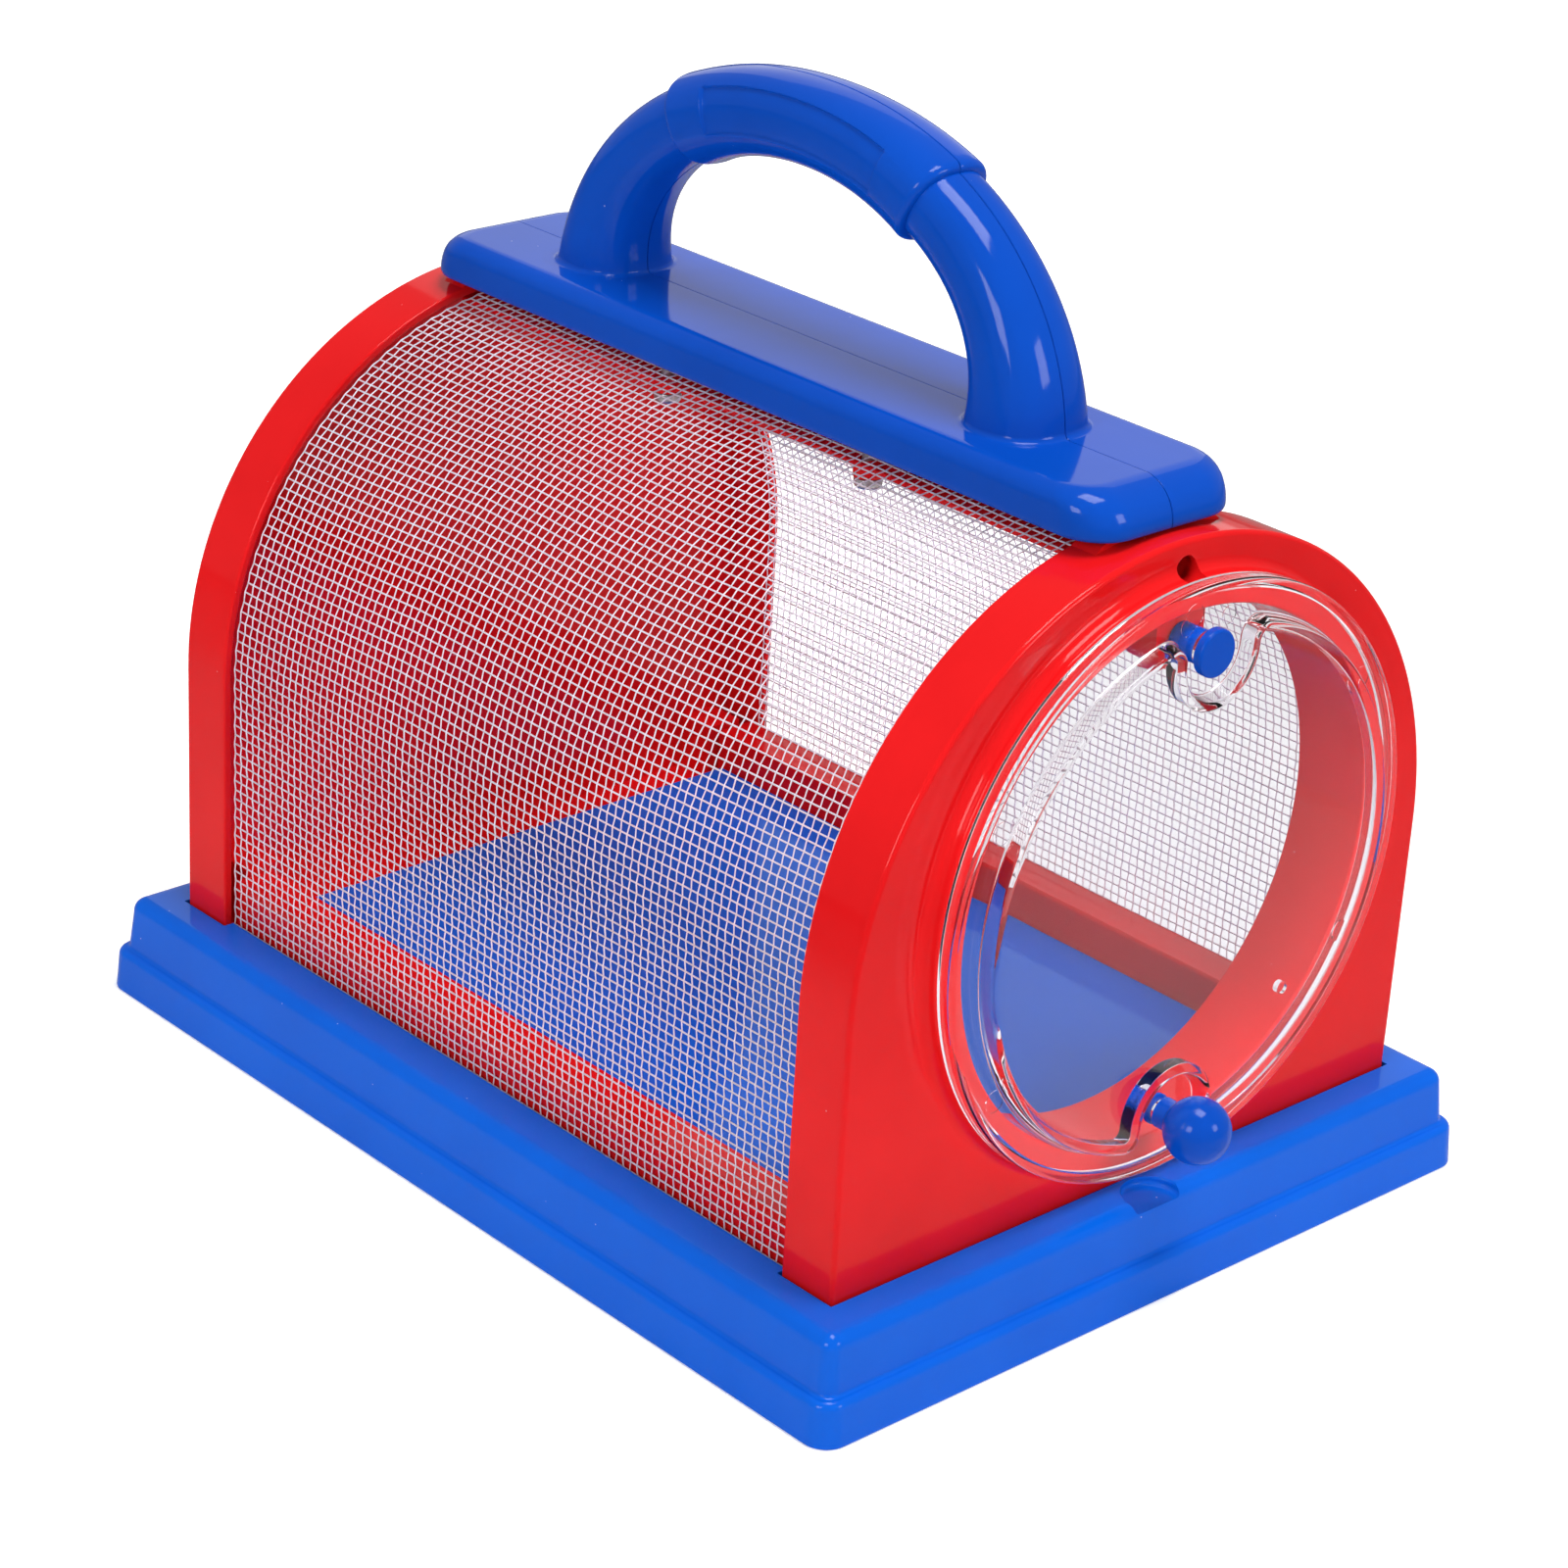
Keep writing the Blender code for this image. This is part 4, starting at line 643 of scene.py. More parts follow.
def screw_shape(head_radius, length):
    """A pan-head screw with its seat at the origin and its point down -Z."""
    radius, point = head_radius * SCREW_SHANK, SCREW_HEAD - length
    crown = head_radius * (1 - SCREW_FLAT)
    profile = [(0, SCREW_HEAD), (head_radius * SCREW_FLAT / 2, SCREW_HEAD),
               *round_off((head_radius, SCREW_HEAD), (-crown, 0), (0, -SCREW_HEAD / 2), 5),
               (head_radius, SCREW_HEAD * SCREW_CHAMFER[1]), (head_radius * SCREW_CHAMFER[0], 0),
               (radius, 0), (radius, point + 2 * radius), (radius / 4, point), (0, point)]
    screw = as_object("screw", turned(profile, Matrix.Identity(4), SCREW_STEPS))
    long, short = head_radius * RECESS_WIDTH, head_radius * RECESS_WIDTH / 3
    floor_z = SCREW_HEAD * (1 - RECESS_DEPTH)
    shape_with(screw, "DIFFERENCE", *[block((-x, -y, floor_z), (x, y, 2 * SCREW_HEAD))
                                      for x, y in ((long, short), (short, long))])
    return screw


def grown(name, mesh, inputs, grow, finish):
    """A piece that Geometry Nodes make from a mesh; grow turns the tree's inputs into its geometry."""
    tree = bpy.data.node_groups.new(name, "GeometryNodeTree")
    start, end = tree.nodes.new("NodeGroupInput"), tree.nodes.new("NodeGroupOutput")
    for label, kind, _ in (("Start", "Geometry", None), *inputs):
        tree.interface.new_socket(label, in_out="INPUT", socket_type="NodeSocket" + kind)
    tree.interface.new_socket("Piece", in_out="OUTPUT", socket_type="NodeSocketGeometry")
    shapes = grow({socket.name: Shade(tree, socket) for socket in start.outputs})
    real = shapes.node("GeometryNodeRealizeInstances", {}, {"Geometry": shapes})
    real.node("GeometryNodeSetMaterial", {}, {"Geometry": real, "Material": finish}).feeds(end, "Piece")
    piece = placed(name, mesh)
    step = piece.modifiers.new("grown", "NODES")
    step.node_group = tree
    sockets = {item.name: item.identifier for item in tree.interface.items_tree if item.in_out == "INPUT"}
    for label, _, value in inputs:
        step[sockets[label]] = value
    settle(piece)
    return piece


def set_screws(given):
    """The screw set at each of the places."""
    screw = given["Screw"].node("GeometryNodeObjectInfo", {}, {"Object": given["Screw"]}, "Geometry")
    return screw.node("GeometryNodeInstanceOnPoints", {},
                      {"Points": given["Start"], "Instance": screw, "Rotation": given["Turn"]})


zinc = zinc_steel()
ends, sides = ("front", "rear"), ("left", "right")
for group, names, turn in (
        ("base_screw", [f"base_screw_{end}_{side}" for end in ends for side in sides], math.pi),
        ("handle_screw", [f"handle_screw_{end}_{side}" for end in ends for side in sides], math.pi),
        ("ridge_screw_front", ["ridge_screw_front"], math.pi / 2),
        ("ridge_screw_rear", ["ridge_screw_rear"], -math.pi / 2)):
    low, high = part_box(names[0])
    _, width, length = sorted(high - low)
    source = screw_shape(width / 2, length)
    seat = Vector((0, math.sin(turn), -math.cos(turn))) * (SCREW_HEAD - length / 2)
    points = bpy.data.meshes.new(group)
    points.from_pydata([(low + high) / 2 + seat for low, high in map(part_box, names)], [], [])
    inputs = (("Screw", "Object", source), ("Turn", "Rotation", (turn, 0, 0)))
    screws = grown(group + "_heads", points, inputs, set_screws, zinc)
    bpy.data.objects.remove(source, do_unlink=True)
    dress(screws, zinc, "screw_steel", "cage", *names, crease=30)


# Woven screen: one sheet of white coated strands in a plain weave, bent over the frame.
# Its edges are tucked behind the panels' rims, under the plate and down beside the rails.
# Ribbed strands lie straight along the cage; plain ones pass over and under them and are sealed to them.
SCREEN_PITCH = 2.0 * MM
OVER_RADIUS = 0.168 * MM
ALONG_RADIUS = 0.164 * MM
RIB_COUNT = 8
RIB_FOOT = 0.3
ALONG_POINTS = 11
WEAVE_LIFT = 0.13 * MM
SCREEN_DRIFT = 6.0 * MM
DRIFT_SCALE = 15.0
SCREEN_INSET = 0.4 * MM
SCREEN_RADIUS = SCREEN_HALF_X - SCREEN_INSET
SCREEN_TUCK = 1.7 * MM
SCREEN_END = PANEL_NEAR + SCREEN_TUCK
SCREEN_FOOT = 18.6 * MM
SCREEN_HALF_ARC = math.pi / 2 * SCREEN_RADIUS + ARCH_SPRING - SCREEN_FOOT
OVER_SIDES = 4
SCREEN_WHITE = (0.92, 0.82, 0.91, 1.0)
SCREEN_SHADE = (0.86, 0.74, 0.84, 1.0)
STRAND_GLOW = 0.35
TONE_SCALE = 700.0
GLOSS_SCALE = 2600.0


def ray(tree, kind):
    """1 for rays of this kind, as Light Path tells them, and 0 for others."""
    return Shade(tree, tree.nodes.new("ShaderNodeLightPath").outputs[f"Is {kind} Ray"])


def shone_through(made, shader, share):
    """Lamps shine through a thin piece: their rays meet a share of clear in place of its finish."""
    tree = made.node_tree
    shadow = ray(tree, "Shadow")
    passing = shadow.node("ShaderNodeBsdfTransparent", {}, {})
    mixed = {0: share * shadow, 1: Shade(tree, shader.outputs[0]), 2: passing}
    shadow.node("ShaderNodeMixShader", {}, mixed).feeds(tree.nodes["Material Output"], "Surface")


def coated_strand():
    """White coated yarn: slightly uneven in tone, thin enough to glow, with a soft plastic gloss."""
    made, shader, place = new_material("white_coated_strand")
    place.noise(TONE_SCALE).between(0.25, 0.75).blend(SCREEN_SHADE, SCREEN_WHITE).feeds(shader, "Base Color")
    (0.36 + 0.2 * place.noise(GLOSS_SCALE)).feeds(shader, "Roughness")
    shone_through(made, shader, STRAND_GLOW)
    return made


def weave(given):
    """Strands along and over the arch: flat crossing points mapped onto it, then given their thickness."""
    pitch = given["Pitch"]
    tree = pitch.tree
    over_count = int(SCREEN_HALF_ARC / SCREEN_PITCH)
    along_count = int(SCREEN_END / SCREEN_PITCH)

    def line(count, span, axis):
        """Points spread evenly over a number of pitches either side of the middle, along X or Y."""
        offset = pitch.node("ShaderNodeCombineXYZ", {}, {axis: pitch * (2 * span / (count - 1))})
        begin = pitch.node("ShaderNodeCombineXYZ", {}, {axis: pitch * float(-span)})
        return pitch.node("GeometryNodeMeshLine", {"mode": "OFFSET"},
                          {"Count": count, "Start Location": begin, "Offset": offset})

    def crossed(strand, places):
        """One strand repeated at each place."""
        thread = pitch.node("GeometryNodeMeshToCurve", {}, {"Mesh": strand})
        spread = pitch.node("GeometryNodeInstanceOnPoints", {}, {"Points": places, "Instance": thread})
        return pitch.node("GeometryNodeRealizeInstances", {}, {"Geometry": spread})

    def parts(vector):
        """The first two parts of a vector."""
        split = tree.nodes.new("ShaderNodeSeparateXYZ")
        vector.feeds(split, 0)
        return Shade(tree, split.outputs["X"]), Shade(tree, split.outputs["Y"])

    def faded(value, edge):
        """1 in the sheet's middle and 0 at its edge."""
        share = value * (1 / edge)
        return 1.0 - share * share

    def shaped(strands, crimp):
        """Flat strands lifted over and under, shifted as the cloth has drifted, and bent onto the arch."""
        where = pitch.node("GeometryNodeInputPosition", {}, {})
        arc, along = parts(where)
        count = arc.math("ROUND", arc.math("DIVIDE", arc + along, pitch))
        parity = arc.math("FLOORED_MODULO", count, 2.0)
        lift = given["Lift"] * (crimp - 2.0 * crimp * parity)
        sway = where.node("ShaderNodeTexNoise", {}, {"Vector": where, "Scale": DRIFT_SCALE, "Detail": 0.0}, 1)
        sway_arc, sway_along = parts(sway)
        drift = given["Drift"] * faded(arc, SCREEN_HALF_ARC) * faded(along, SCREEN_END)
        arc, along = arc + drift * (sway_arc - 0.5), along + drift * (sway_along - 0.5)
        side = arc.math("SIGN", arc)
        quarter_arc = given["Arch Radius"] * (math.pi / 2)
        far = arc.math("ABSOLUTE", arc)
        bent = arc.math("MINIMUM", far, quarter_arc)
        angle = arc.math("DIVIDE", bent, given["Arch Radius"])
        fall = arc.math("MAXIMUM", far - quarter_arc, 0.0)
        reach = given["Arch Radius"] + lift
        x = side * reach * arc.math("SINE", angle)
        z = given["Spring"] + reach * arc.math("COSINE", angle) - fall
        point = arc.node("ShaderNodeCombineXYZ", {}, {"X": x, "Y": along + given["Middle"], "Z": z})
        return arc.node("GeometryNodeSetPosition", {}, {"Geometry": strands, "Position": point})

    over = line(2 * over_count + 1, over_count, "X")
    along = line(2 * along_count + 1, along_count, "Y")
    straight = line(ALONG_POINTS, along_count, "Y")
    plain = pitch.node("GeometryNodeCurvePrimitiveCircle", {"mode": "RADIUS"},
                       {"Resolution": OVER_SIDES, "Radius": given["Over Radius"]})
    ribbed = pitch.node("GeometryNodeCurveStar", {}, {
        "Points": RIB_COUNT, "Outer Radius": given["Along Radius"],
        "Inner Radius": given["Along Radius"] * RIB_FOOT})
    joined = tree.nodes.new("GeometryNodeJoinGeometry")
    for strands, ring in ((shaped(crossed(over, along), 1.0), plain),
                          (shaped(crossed(straight, over), 0.0), ribbed)):
        tube = {"Curve": strands, "Profile Curve": ring, "Fill Caps": True}
        pitch.node("GeometryNodeCurveToMesh", {}, tube).feeds(joined, "Geometry")
    return pitch.node("GeometryNodeSetShadeSmooth", {}, {"Geometry": Shade(tree, joined.outputs[0])})


weave_sizes = (("Pitch", SCREEN_PITCH), ("Over Radius", OVER_RADIUS), ("Along Radius", ALONG_RADIUS),
               ("Lift", WEAVE_LIFT), ("Drift", SCREEN_DRIFT), ("Arch Radius", SCREEN_RADIUS),
               ("Spring", ARCH_SPRING), ("Middle", MIDDLE_Y))
screen = grown("woven_screen", bpy.data.meshes.new("woven_screen"),
               [(label, "Float", value) for label, value in weave_sizes], weave, coated_strand())
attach(screen, "cage")
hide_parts("mesh_screen")


# Handle and plate: two blue half shells that meet along the middle, pinned together and screwed from below.
# The bar's legs thicken to the plate; over them sits a grip with round ends and a panel sunk in each side.
# The plate clamps the crown of the screen between the two end panels.
PLATE_HALF_X = plate_high.x
PLATE_GAP = 0.3 * MM
PLATE_FOOT = SEAT_Z + PLATE_GAP
PLATE_TOP = 154.6 * MM
PLATE_CORNER = 9.0 * MM
PLATE_ROUND = 3.4 * MM
PLATE_END_ROUND = 7.5 * MM
PLATE_UNDER_ROUND = 0.9 * MM
HANDLE_SPAN = 56.5 * MM
HANDLE_FULLNESS = 2.05
HANDLE_HALF_X = 8.2 * MM
HANDLE_HALF_N = 7.2 * MM
SECTION_FULLNESS = 2.4
FOOT_FILLET = 1.0 * MM
LEG_SWELL = 2.8 * MM
LEG_SINK = 0.9 * MM
GRIP_SPAN = 32.5 * MM
GRIP_STEP = 0.02 * MM
GRIP_SWELL = 0.9 * MM
GRIP_END_SWELL = 1.7 * MM
GRIP_EDGE = 1.4 * MM
HANDLE_RISE = plate_high.z - PLATE_TOP - HANDLE_HALF_N - GRIP_SWELL
GRIP_PANEL_SPAN = 23.2 * MM
GRIP_PANEL_LOW = 3.6 * MM
GRIP_PANEL_HIGH = 5.6 * MM
GRIP_PANEL_SINK = 0.7 * MM
GRIP_PANEL_STEP = 0.6 * MM
SEAM_HALF = 0.06 * MM
SEAM_BEVEL = 0.16 * MM
PLATE_LEAST_CORNER = 2.0 * MM
PLATE_CORNER_STEPS = 14
# Painted shade: the handle's blue is the base's blue made darker, standing in for the deeper shade on the
# upper parts.
PAINTED_SHADE_HANDLE_BLUE = (0.0018, 0.070, 0.49, 1.0)
PAINTED_SHADE_HANDLE_BLUE_DEEP = (0.0015, 0.060, 0.43, 1.0)


def full_curve(half_width, half_height, fullness, angle):
    """A point on an oval that is an ellipse at fullness 2 and squarer above it."""
    across, along = math.cos(angle), math.sin(angle)
    return (half_width * math.copysign(abs(across) ** (2 / fullness), across),
            half_height * math.copysign(abs(along) ** (2 / fullness), along))


def angle_for(share, fullness):
    """The angle at which the oval reaches this share of its half height."""
    return math.asin(share ** (fullness / 2))


def eased(share):
    """0 to 1 with soft ends."""
    share = min(max(share, 0), 1)
    return share * share * (3 - 2 * share)


def handle_path(angle):
    """Place and outward direction, both in (y, z), on the bar's middle line."""
    y, z = full_curve(HANDLE_SPAN, HANDLE_RISE, HANDLE_FULLNESS, angle)
    slope = full_curve(1 / HANDLE_SPAN, 1 / HANDLE_RISE, 1 / (1 - 1 / HANDLE_FULLNESS), angle)
    return (MIDDLE_Y + y, PLATE_TOP + z), Vector(slope).normalized()


def half_section(swell, sink):
    """One half of the bar's section as (x, outward) points, from the seam below to the seam above."""
    half_x, half_n = HANDLE_HALF_X + swell, HANDLE_HALF_N + swell

    def angle_at(height):
        return angle_for(height / half_n, SECTION_FULLNESS)

    low, low_floor = -angle_at(GRIP_PANEL_LOW), -angle_at(GRIP_PANEL_LOW - GRIP_PANEL_STEP)
    high, high_floor = angle_at(GRIP_PANEL_HIGH), angle_at(GRIP_PANEL_HIGH - GRIP_PANEL_STEP)
    angles = steps_between(-math.pi / 2, low, 12) + steps_between(low, low_floor, 4)
    angles += steps_between(low_floor, high_floor, 10) + steps_between(high_floor, high, 4)
    angles += steps_between(high, math.pi / 2, 12)[:-1]
    points = [(SEAM_HALF, SEAM_BEVEL - half_n), (SEAM_HALF + SEAM_BEVEL, -half_n)]
    for angle in angles:
        x, n = full_curve(half_x, half_n, SECTION_FULLNESS, angle)
        inside = min((angle - low) / (low_floor - low), (high - angle) / (high - high_floor))
        points.append((x - sink * eased(inside), n))
    return points + [(SEAM_HALF + SEAM_BEVEL, half_n), (SEAM_HALF, half_n - SEAM_BEVEL)]


def leg_swell(angle):
    """How much the legs thicken toward the plate."""
    (_, z), _ = handle_path(angle)
    return LEG_SWELL * (1 - (z - PLATE_TOP) / HANDLE_RISE) ** 2


def grip_swell(angle):
    """How far the grip stands out, most at its two ends."""
    (y, _), _ = handle_path(angle)
    return GRIP_SWELL + (GRIP_END_SWELL - GRIP_SWELL) * ((y - MIDDLE_Y) / GRIP_SPAN) ** 2


def bar_stations():
    """Angle, swell and panel depth of each section, from the rear foot to the top of the grip."""
    def angle_at(span):
        return math.pi / 2 - angle_for(span / HANDLE_SPAN, HANDLE_FULLNESS)

    fillet = angle_for(FOOT_FILLET / HANDLE_RISE, HANDLE_FULLNESS)
    stations = []
    for angle, flare in round_off((0, 0), (0, FOOT_FILLET), (fillet, 0), 6):
        stations.append((angle, leg_swell(angle) + flare, 0))
    for angle in steps_between(fillet, angle_at(GRIP_SPAN), 28):
        stations.append((angle, leg_swell(angle), 0))
    for span, drop in round_off((GRIP_SPAN - GRIP_STEP, 0), (0, GRIP_EDGE), (-GRIP_EDGE, 0), 6):
        angle = angle_at(span)
        stations.append((angle, grip_swell(angle) - drop, 0))
    for angle in steps_between(stations[-1][0], angle_at(GRIP_PANEL_SPAN), 8):
        stations.append((angle, grip_swell(angle), 0))
    for share in steps_between(0, 1, 4):
        angle = angle_at(GRIP_PANEL_SPAN - GRIP_PANEL_STEP * share)
        stations.append((angle, grip_swell(angle), GRIP_PANEL_SINK * eased(share)))
    for angle in steps_between(stations[-1][0], math.pi / 2, 20):
        stations.append((angle, grip_swell(angle), GRIP_PANEL_SINK))
    return stations


def bar_half(side):
    """One half of the bar, with its two feet sunk into the plate."""
    stations = bar_stations()
    stations += [(math.pi - angle, swell, sink) for angle, swell, sink in stations[-2::-1]]
    rings = []
    for angle, swell, sink in stations:
        (y, z), out = handle_path(angle)
        rings.append([(side * x, y + n * out[0], z + n * out[1]) for x, n in half_section(swell, sink)])
    feet = [[(x, y, PLATE_TOP - LEG_SINK) for x, y, _ in ring] for ring in (rings[0], rings[-1])]
    return skin_over(feet[:1] + rings + feet[1:])


def round_inset(radius, drop):
    """How far a quarter round stands in from its side, at a drop below its top."""
    rise = min(max(radius - drop, 0), radius)
    return radius - math.sqrt(radius ** 2 - rise ** 2)


def plate_ring(side, inset, drop, seam=SEAM_HALF):
    """One half of the plate's outline at a drop below its top; its middle edge stands back by seam."""
    inset_x = inset + round_inset(PLATE_ROUND, drop)
    half_x, half_y = PLATE_HALF_X - inset_x, PLATE_HALF_Y - inset - round_inset(PLATE_END_ROUND, drop)
    radius = max(PLATE_CORNER - inset_x, PLATE_LEAST_CORNER)
    outline = [(seam, SEAM_BEVEL - half_y), (seam + SEAM_BEVEL, -half_y)]
    for start, y in ((-math.pi / 2, radius - half_y), (0, half_y - radius)):
        outline += arc_points((half_x - radius, y), radius, start, start + math.pi / 2, PLATE_CORNER_STEPS)
    outline += [(seam + SEAM_BEVEL, half_y), (seam, half_y - SEAM_BEVEL)]
    return [(side * x, MIDDLE_Y + y, PLATE_TOP - drop) for x, y in outline]


def plate_half(side):
    """One half of the plate, from its underside up to its rounded top."""
    under = round_off((0, PLATE_TOP - PLATE_FOOT), (PLATE_UNDER_ROUND, 0), (0, -PLATE_UNDER_ROUND), 4)
    drops = steps_between(PLATE_END_ROUND, PLATE_ROUND, 10)
    drops += [drop for drop, _ in round_off((0, 0), (PLATE_ROUND, 0), (0, PLATE_ROUND), 10)][:-1]
    rings = [plate_ring(side, inset, drop) for inset, drop in under]
    rings += [plate_ring(side, 0, drop) for drop in drops]
    return skin_over(rings + [plate_ring(side, 0, 0, SEAM_HALF + SEAM_BEVEL)])


# The handle, peg and knob wear this darker blue as painted shade, not as a different plastic.
painted_shade_handle_plastic = moulded_plastic("blue_plastic_handle_painted_shade", PAINTED_SHADE_HANDLE_BLUE, PAINTED_SHADE_HANDLE_BLUE_DEEP)
for side, node in ((-1, "handle_left_half"), (1, "handle_right_half")):
    half = as_object(node + "_moulding", plate_half(side))
    add_shapes(half, bar_half(side))
    dress(half, painted_shade_handle_plastic, "blue_plastic", "cage", node)


# Pivot peg: a blue mushroom-headed pin that the door hangs and turns on.
# Its neck goes through the door and the panel's lug, and its split tip snaps open behind the lug.
PEG_HEAD = 4.5 * MM
PEG_HEAD_FRONT = 9.3 * MM
PEG_HEAD_BACK = 7.6 * MM
PEG_SHAFT = 3.2 * MM
PEG_NECK = 2.4 * MM
PEG_BARB = 0.7 * MM
PEG_TIP = 11.5 * MM
PEG_SLIT = 1.0 * MM
PEG_ROUND = 0.55 * MM
PEG_PLAY = 0.3 * MM

lug_front, lug_back = PEG_PLAY - LUG_SETBACK, -LUG_SETBACK - LUG_THICKNESS - PEG_PLAY
peg_profile = [(0, PEG_HEAD_FRONT),
               *round_off((PEG_HEAD, PEG_HEAD_FRONT), (-PEG_ROUND, 0), (0, -PEG_ROUND), 6),
               (PEG_HEAD, PEG_HEAD_BACK), (PEG_SHAFT, PEG_HEAD_BACK), (PEG_SHAFT, lug_front),
               (PEG_NECK, lug_front), (PEG_NECK, lug_back), (PEG_NECK + PEG_BARB, lug_back - PEG_BARB / 2),
               (PEG_NECK - PEG_BARB, -PEG_TIP), (0, -PEG_TIP)]
peg = as_object("pivot_peg_moulding", turned(peg_profile, facing_out(PIVOT_Z), 48))
shape_with(peg, "DIFFERENCE", block((-PEG_SLIT / 2, FACE_Y + LUG_THICKNESS / 2, PIVOT_Z - 2 * PEG_HEAD),
                                    (PEG_SLIT / 2, FACE_Y + PEG_TIP + OVERCUT, PIVOT_Z + 2 * PEG_HEAD)))
# The peg wears the handle's darker blue, which is painted shade.
dress(peg, painted_shade_handle_plastic, "blue_plastic", "cage", "pivot_peg")


# Swing door: a clear dish with a turned rim, a raised window and two pockets cut into the window's edge.
# The upper pocket holds the peg that it hangs on, the lower one the knob that it is pushed by.
# It is injection moulded; faint ejector marks are left in its rim and a gate stub in its window.
DOOR_RADIUS = 57.3 * MM
DOOR_BACK = 3.5 * MM
RIM_FRONT = 7.3 * MM
WINDOW_FRONT = 10.5 * MM
DOOR_WALL = 1.8 * MM
DOOR_ROUND = 1.0 * MM
SKIRT_ROUND = 0.3 * MM
SKIRT_CHAMFER = 0.2 * MM
HOLLOW_ROUND = 0.4 * MM
WINDOW_RADIUS = 50.4 * MM
WINDOW_DRAFT = 0.5 * MM
WINDOW_FOOT = 0.5 * MM
POCKET_RADIUS = 8.5 * MM
POCKET_REACH = 45.2 * MM
POCKET_CORNER = 3.2 * MM
WINDOW_STEPS = 40
POCKET_STEPS = 12
KNOB_Z = DOOR_Z - POCKET_REACH
PEG_HOLE = 3.45 * MM
KNOB_HOLE = 2.2 * MM
MARK_RADIUS = 2.2 * MM
MARK_REACH = 52.3 * MM
MARK_DEPTH = 0.16 * MM
MARK_ANGLES = (34, 94, 154, 214, 334)
PIN_RADIUS = 1.75 * MM
PIN_PLACE = (5.2 * MM, 50.4 * MM)
GATE_RADIUS = 1.2 * MM
GATE_HEIGHT = 1.3 * MM
GATE_PLACE = (27.5 * MM, -27.5 * MM)
CLEAR = (0.95, 0.945, 0.975, 1.0)
CLEAR_IOR = 1.34
HAZE_SCALE = 90.0
RIPPLE_SCALE = 60.0
SCRATCH_SCALES = (300.0, 300.0, 2600.0)


def clear_plastic():
    """Colourless plastic with a hint of haze; lamps shine through it as they do through the thin real one."""
    made, shader, place = new_material("clear_plastic_moulded")
    haze = place.noise(HAZE_SCALE, 3.0).between(0.45, 0.75)
    scratch = place.streaks(SCRATCH_SCALES).between(0.68, 0.78)
    (0.012 + 0.02 * haze + 0.04 * scratch).feeds(shader, "Roughness")
    place.noise(RIPPLE_SCALE, 1.0).ripples(shader)
    for name, value in (("Base Color", CLEAR), ("Transmission Weight", 1.0), ("IOR", CLEAR_IOR)):
        shader.inputs[name].default_value = value
    shone_through(made, shader, 1.0)
    return made


def heading(angle):
    return Vector((math.cos(angle), math.sin(angle)))


def window_edge():
    """The window's outline about the door's middle, as (point, outward normal, angle on the rim)."""
    corner_x = POCKET_RADIUS + POCKET_CORNER
    corner_y = math.sqrt((WINDOW_RADIUS - POCKET_CORNER) ** 2 - corner_x ** 2)
    lean = math.atan2(corner_y, corner_x)
    side = []
    for angle in [0] + steps_between(0, lean, WINDOW_STEPS):
        side.append((heading(angle) * WINDOW_RADIUS, heading(angle), angle))
    pocket = []
    for angle in steps_between(lean, math.pi, POCKET_STEPS):
        pocket.append((Vector((corner_x, corner_y)) + heading(angle) * POCKET_CORNER, heading(angle)))
    for angle in [0] + steps_between(0, -math.pi / 2, POCKET_STEPS):
        pocket.append((Vector((0, POCKET_REACH)) + heading(angle) * POCKET_RADIUS, -heading(angle)))
    rim_angles = steps_between(lean, math.pi / 2, len(pocket))
    first = side + [(point, normal, angle) for (point, normal), angle in zip(pocket, rim_angles)]
    mirrored = [(Vector((-p.x, p.y)), Vector((-n.x, n.y)), math.pi - a) for p, n, a in first[-2::-1]]
    upper = first + mirrored
    lower = [(-p, -n, a + math.pi) for p, n, a in upper[1:-1]]
    return upper + lower


edge_samples = window_edge()


def window_loop(outward, height):
    """The window's outline moved outward, at a height in front of the panel's face."""
    return [(p.x + n.x * outward, FACE_Y - height, DOOR_Z + p.y + n.y * outward) for p, n, _ in edge_samples]


def rim_loop(radius, height):
    """As many points round the rim, at a height in front of the panel's face."""
    angles = [angle for _, _, angle in edge_samples]
    return [(radius * math.cos(a), FACE_Y - height, DOOR_Z + radius * math.sin(a)) for a in angles]


def door_rings():
    """Rings from the hollow behind the window, out round the rim and in to the window's front."""
    ceiling, plate_back = WINDOW_FRONT - DOOR_WALL, RIM_FRONT - DOOR_WALL
    hollow = [(-DOOR_WALL - HOLLOW_ROUND, ceiling),
              (-DOOR_WALL - HOLLOW_ROUND / 4, ceiling - HOLLOW_ROUND / 4),
              (-DOOR_WALL, ceiling - HOLLOW_ROUND),
              *round_off((-DOOR_WALL, plate_back), (0, WINDOW_FOOT), (WINDOW_FOOT, 0), 4)]
    inner = DOOR_RADIUS - DOOR_WALL
    rim = [(inner - SKIRT_ROUND, plate_back), (inner, plate_back - SKIRT_ROUND),
           (inner, DOOR_BACK + SKIRT_CHAMFER), (inner + SKIRT_CHAMFER, DOOR_BACK),
           (DOOR_RADIUS - SKIRT_ROUND, DOOR_BACK), (DOOR_RADIUS, DOOR_BACK + SKIRT_ROUND),
           *round_off((DOOR_RADIUS, RIM_FRONT), (0, -DOOR_ROUND), (-DOOR_ROUND, 0), 6)]
    window = [*round_off((WINDOW_DRAFT, RIM_FRONT), (WINDOW_FOOT, 0), (0, WINDOW_FOOT), 4),
              *round_off((0, WINDOW_FRONT), (0, -DOOR_ROUND), (-DOOR_ROUND, 0), 6)]
    return ([window_loop(*place) for place in hollow] + [rim_loop(*place) for place in rim]
            + [window_loop(*place) for place in window])


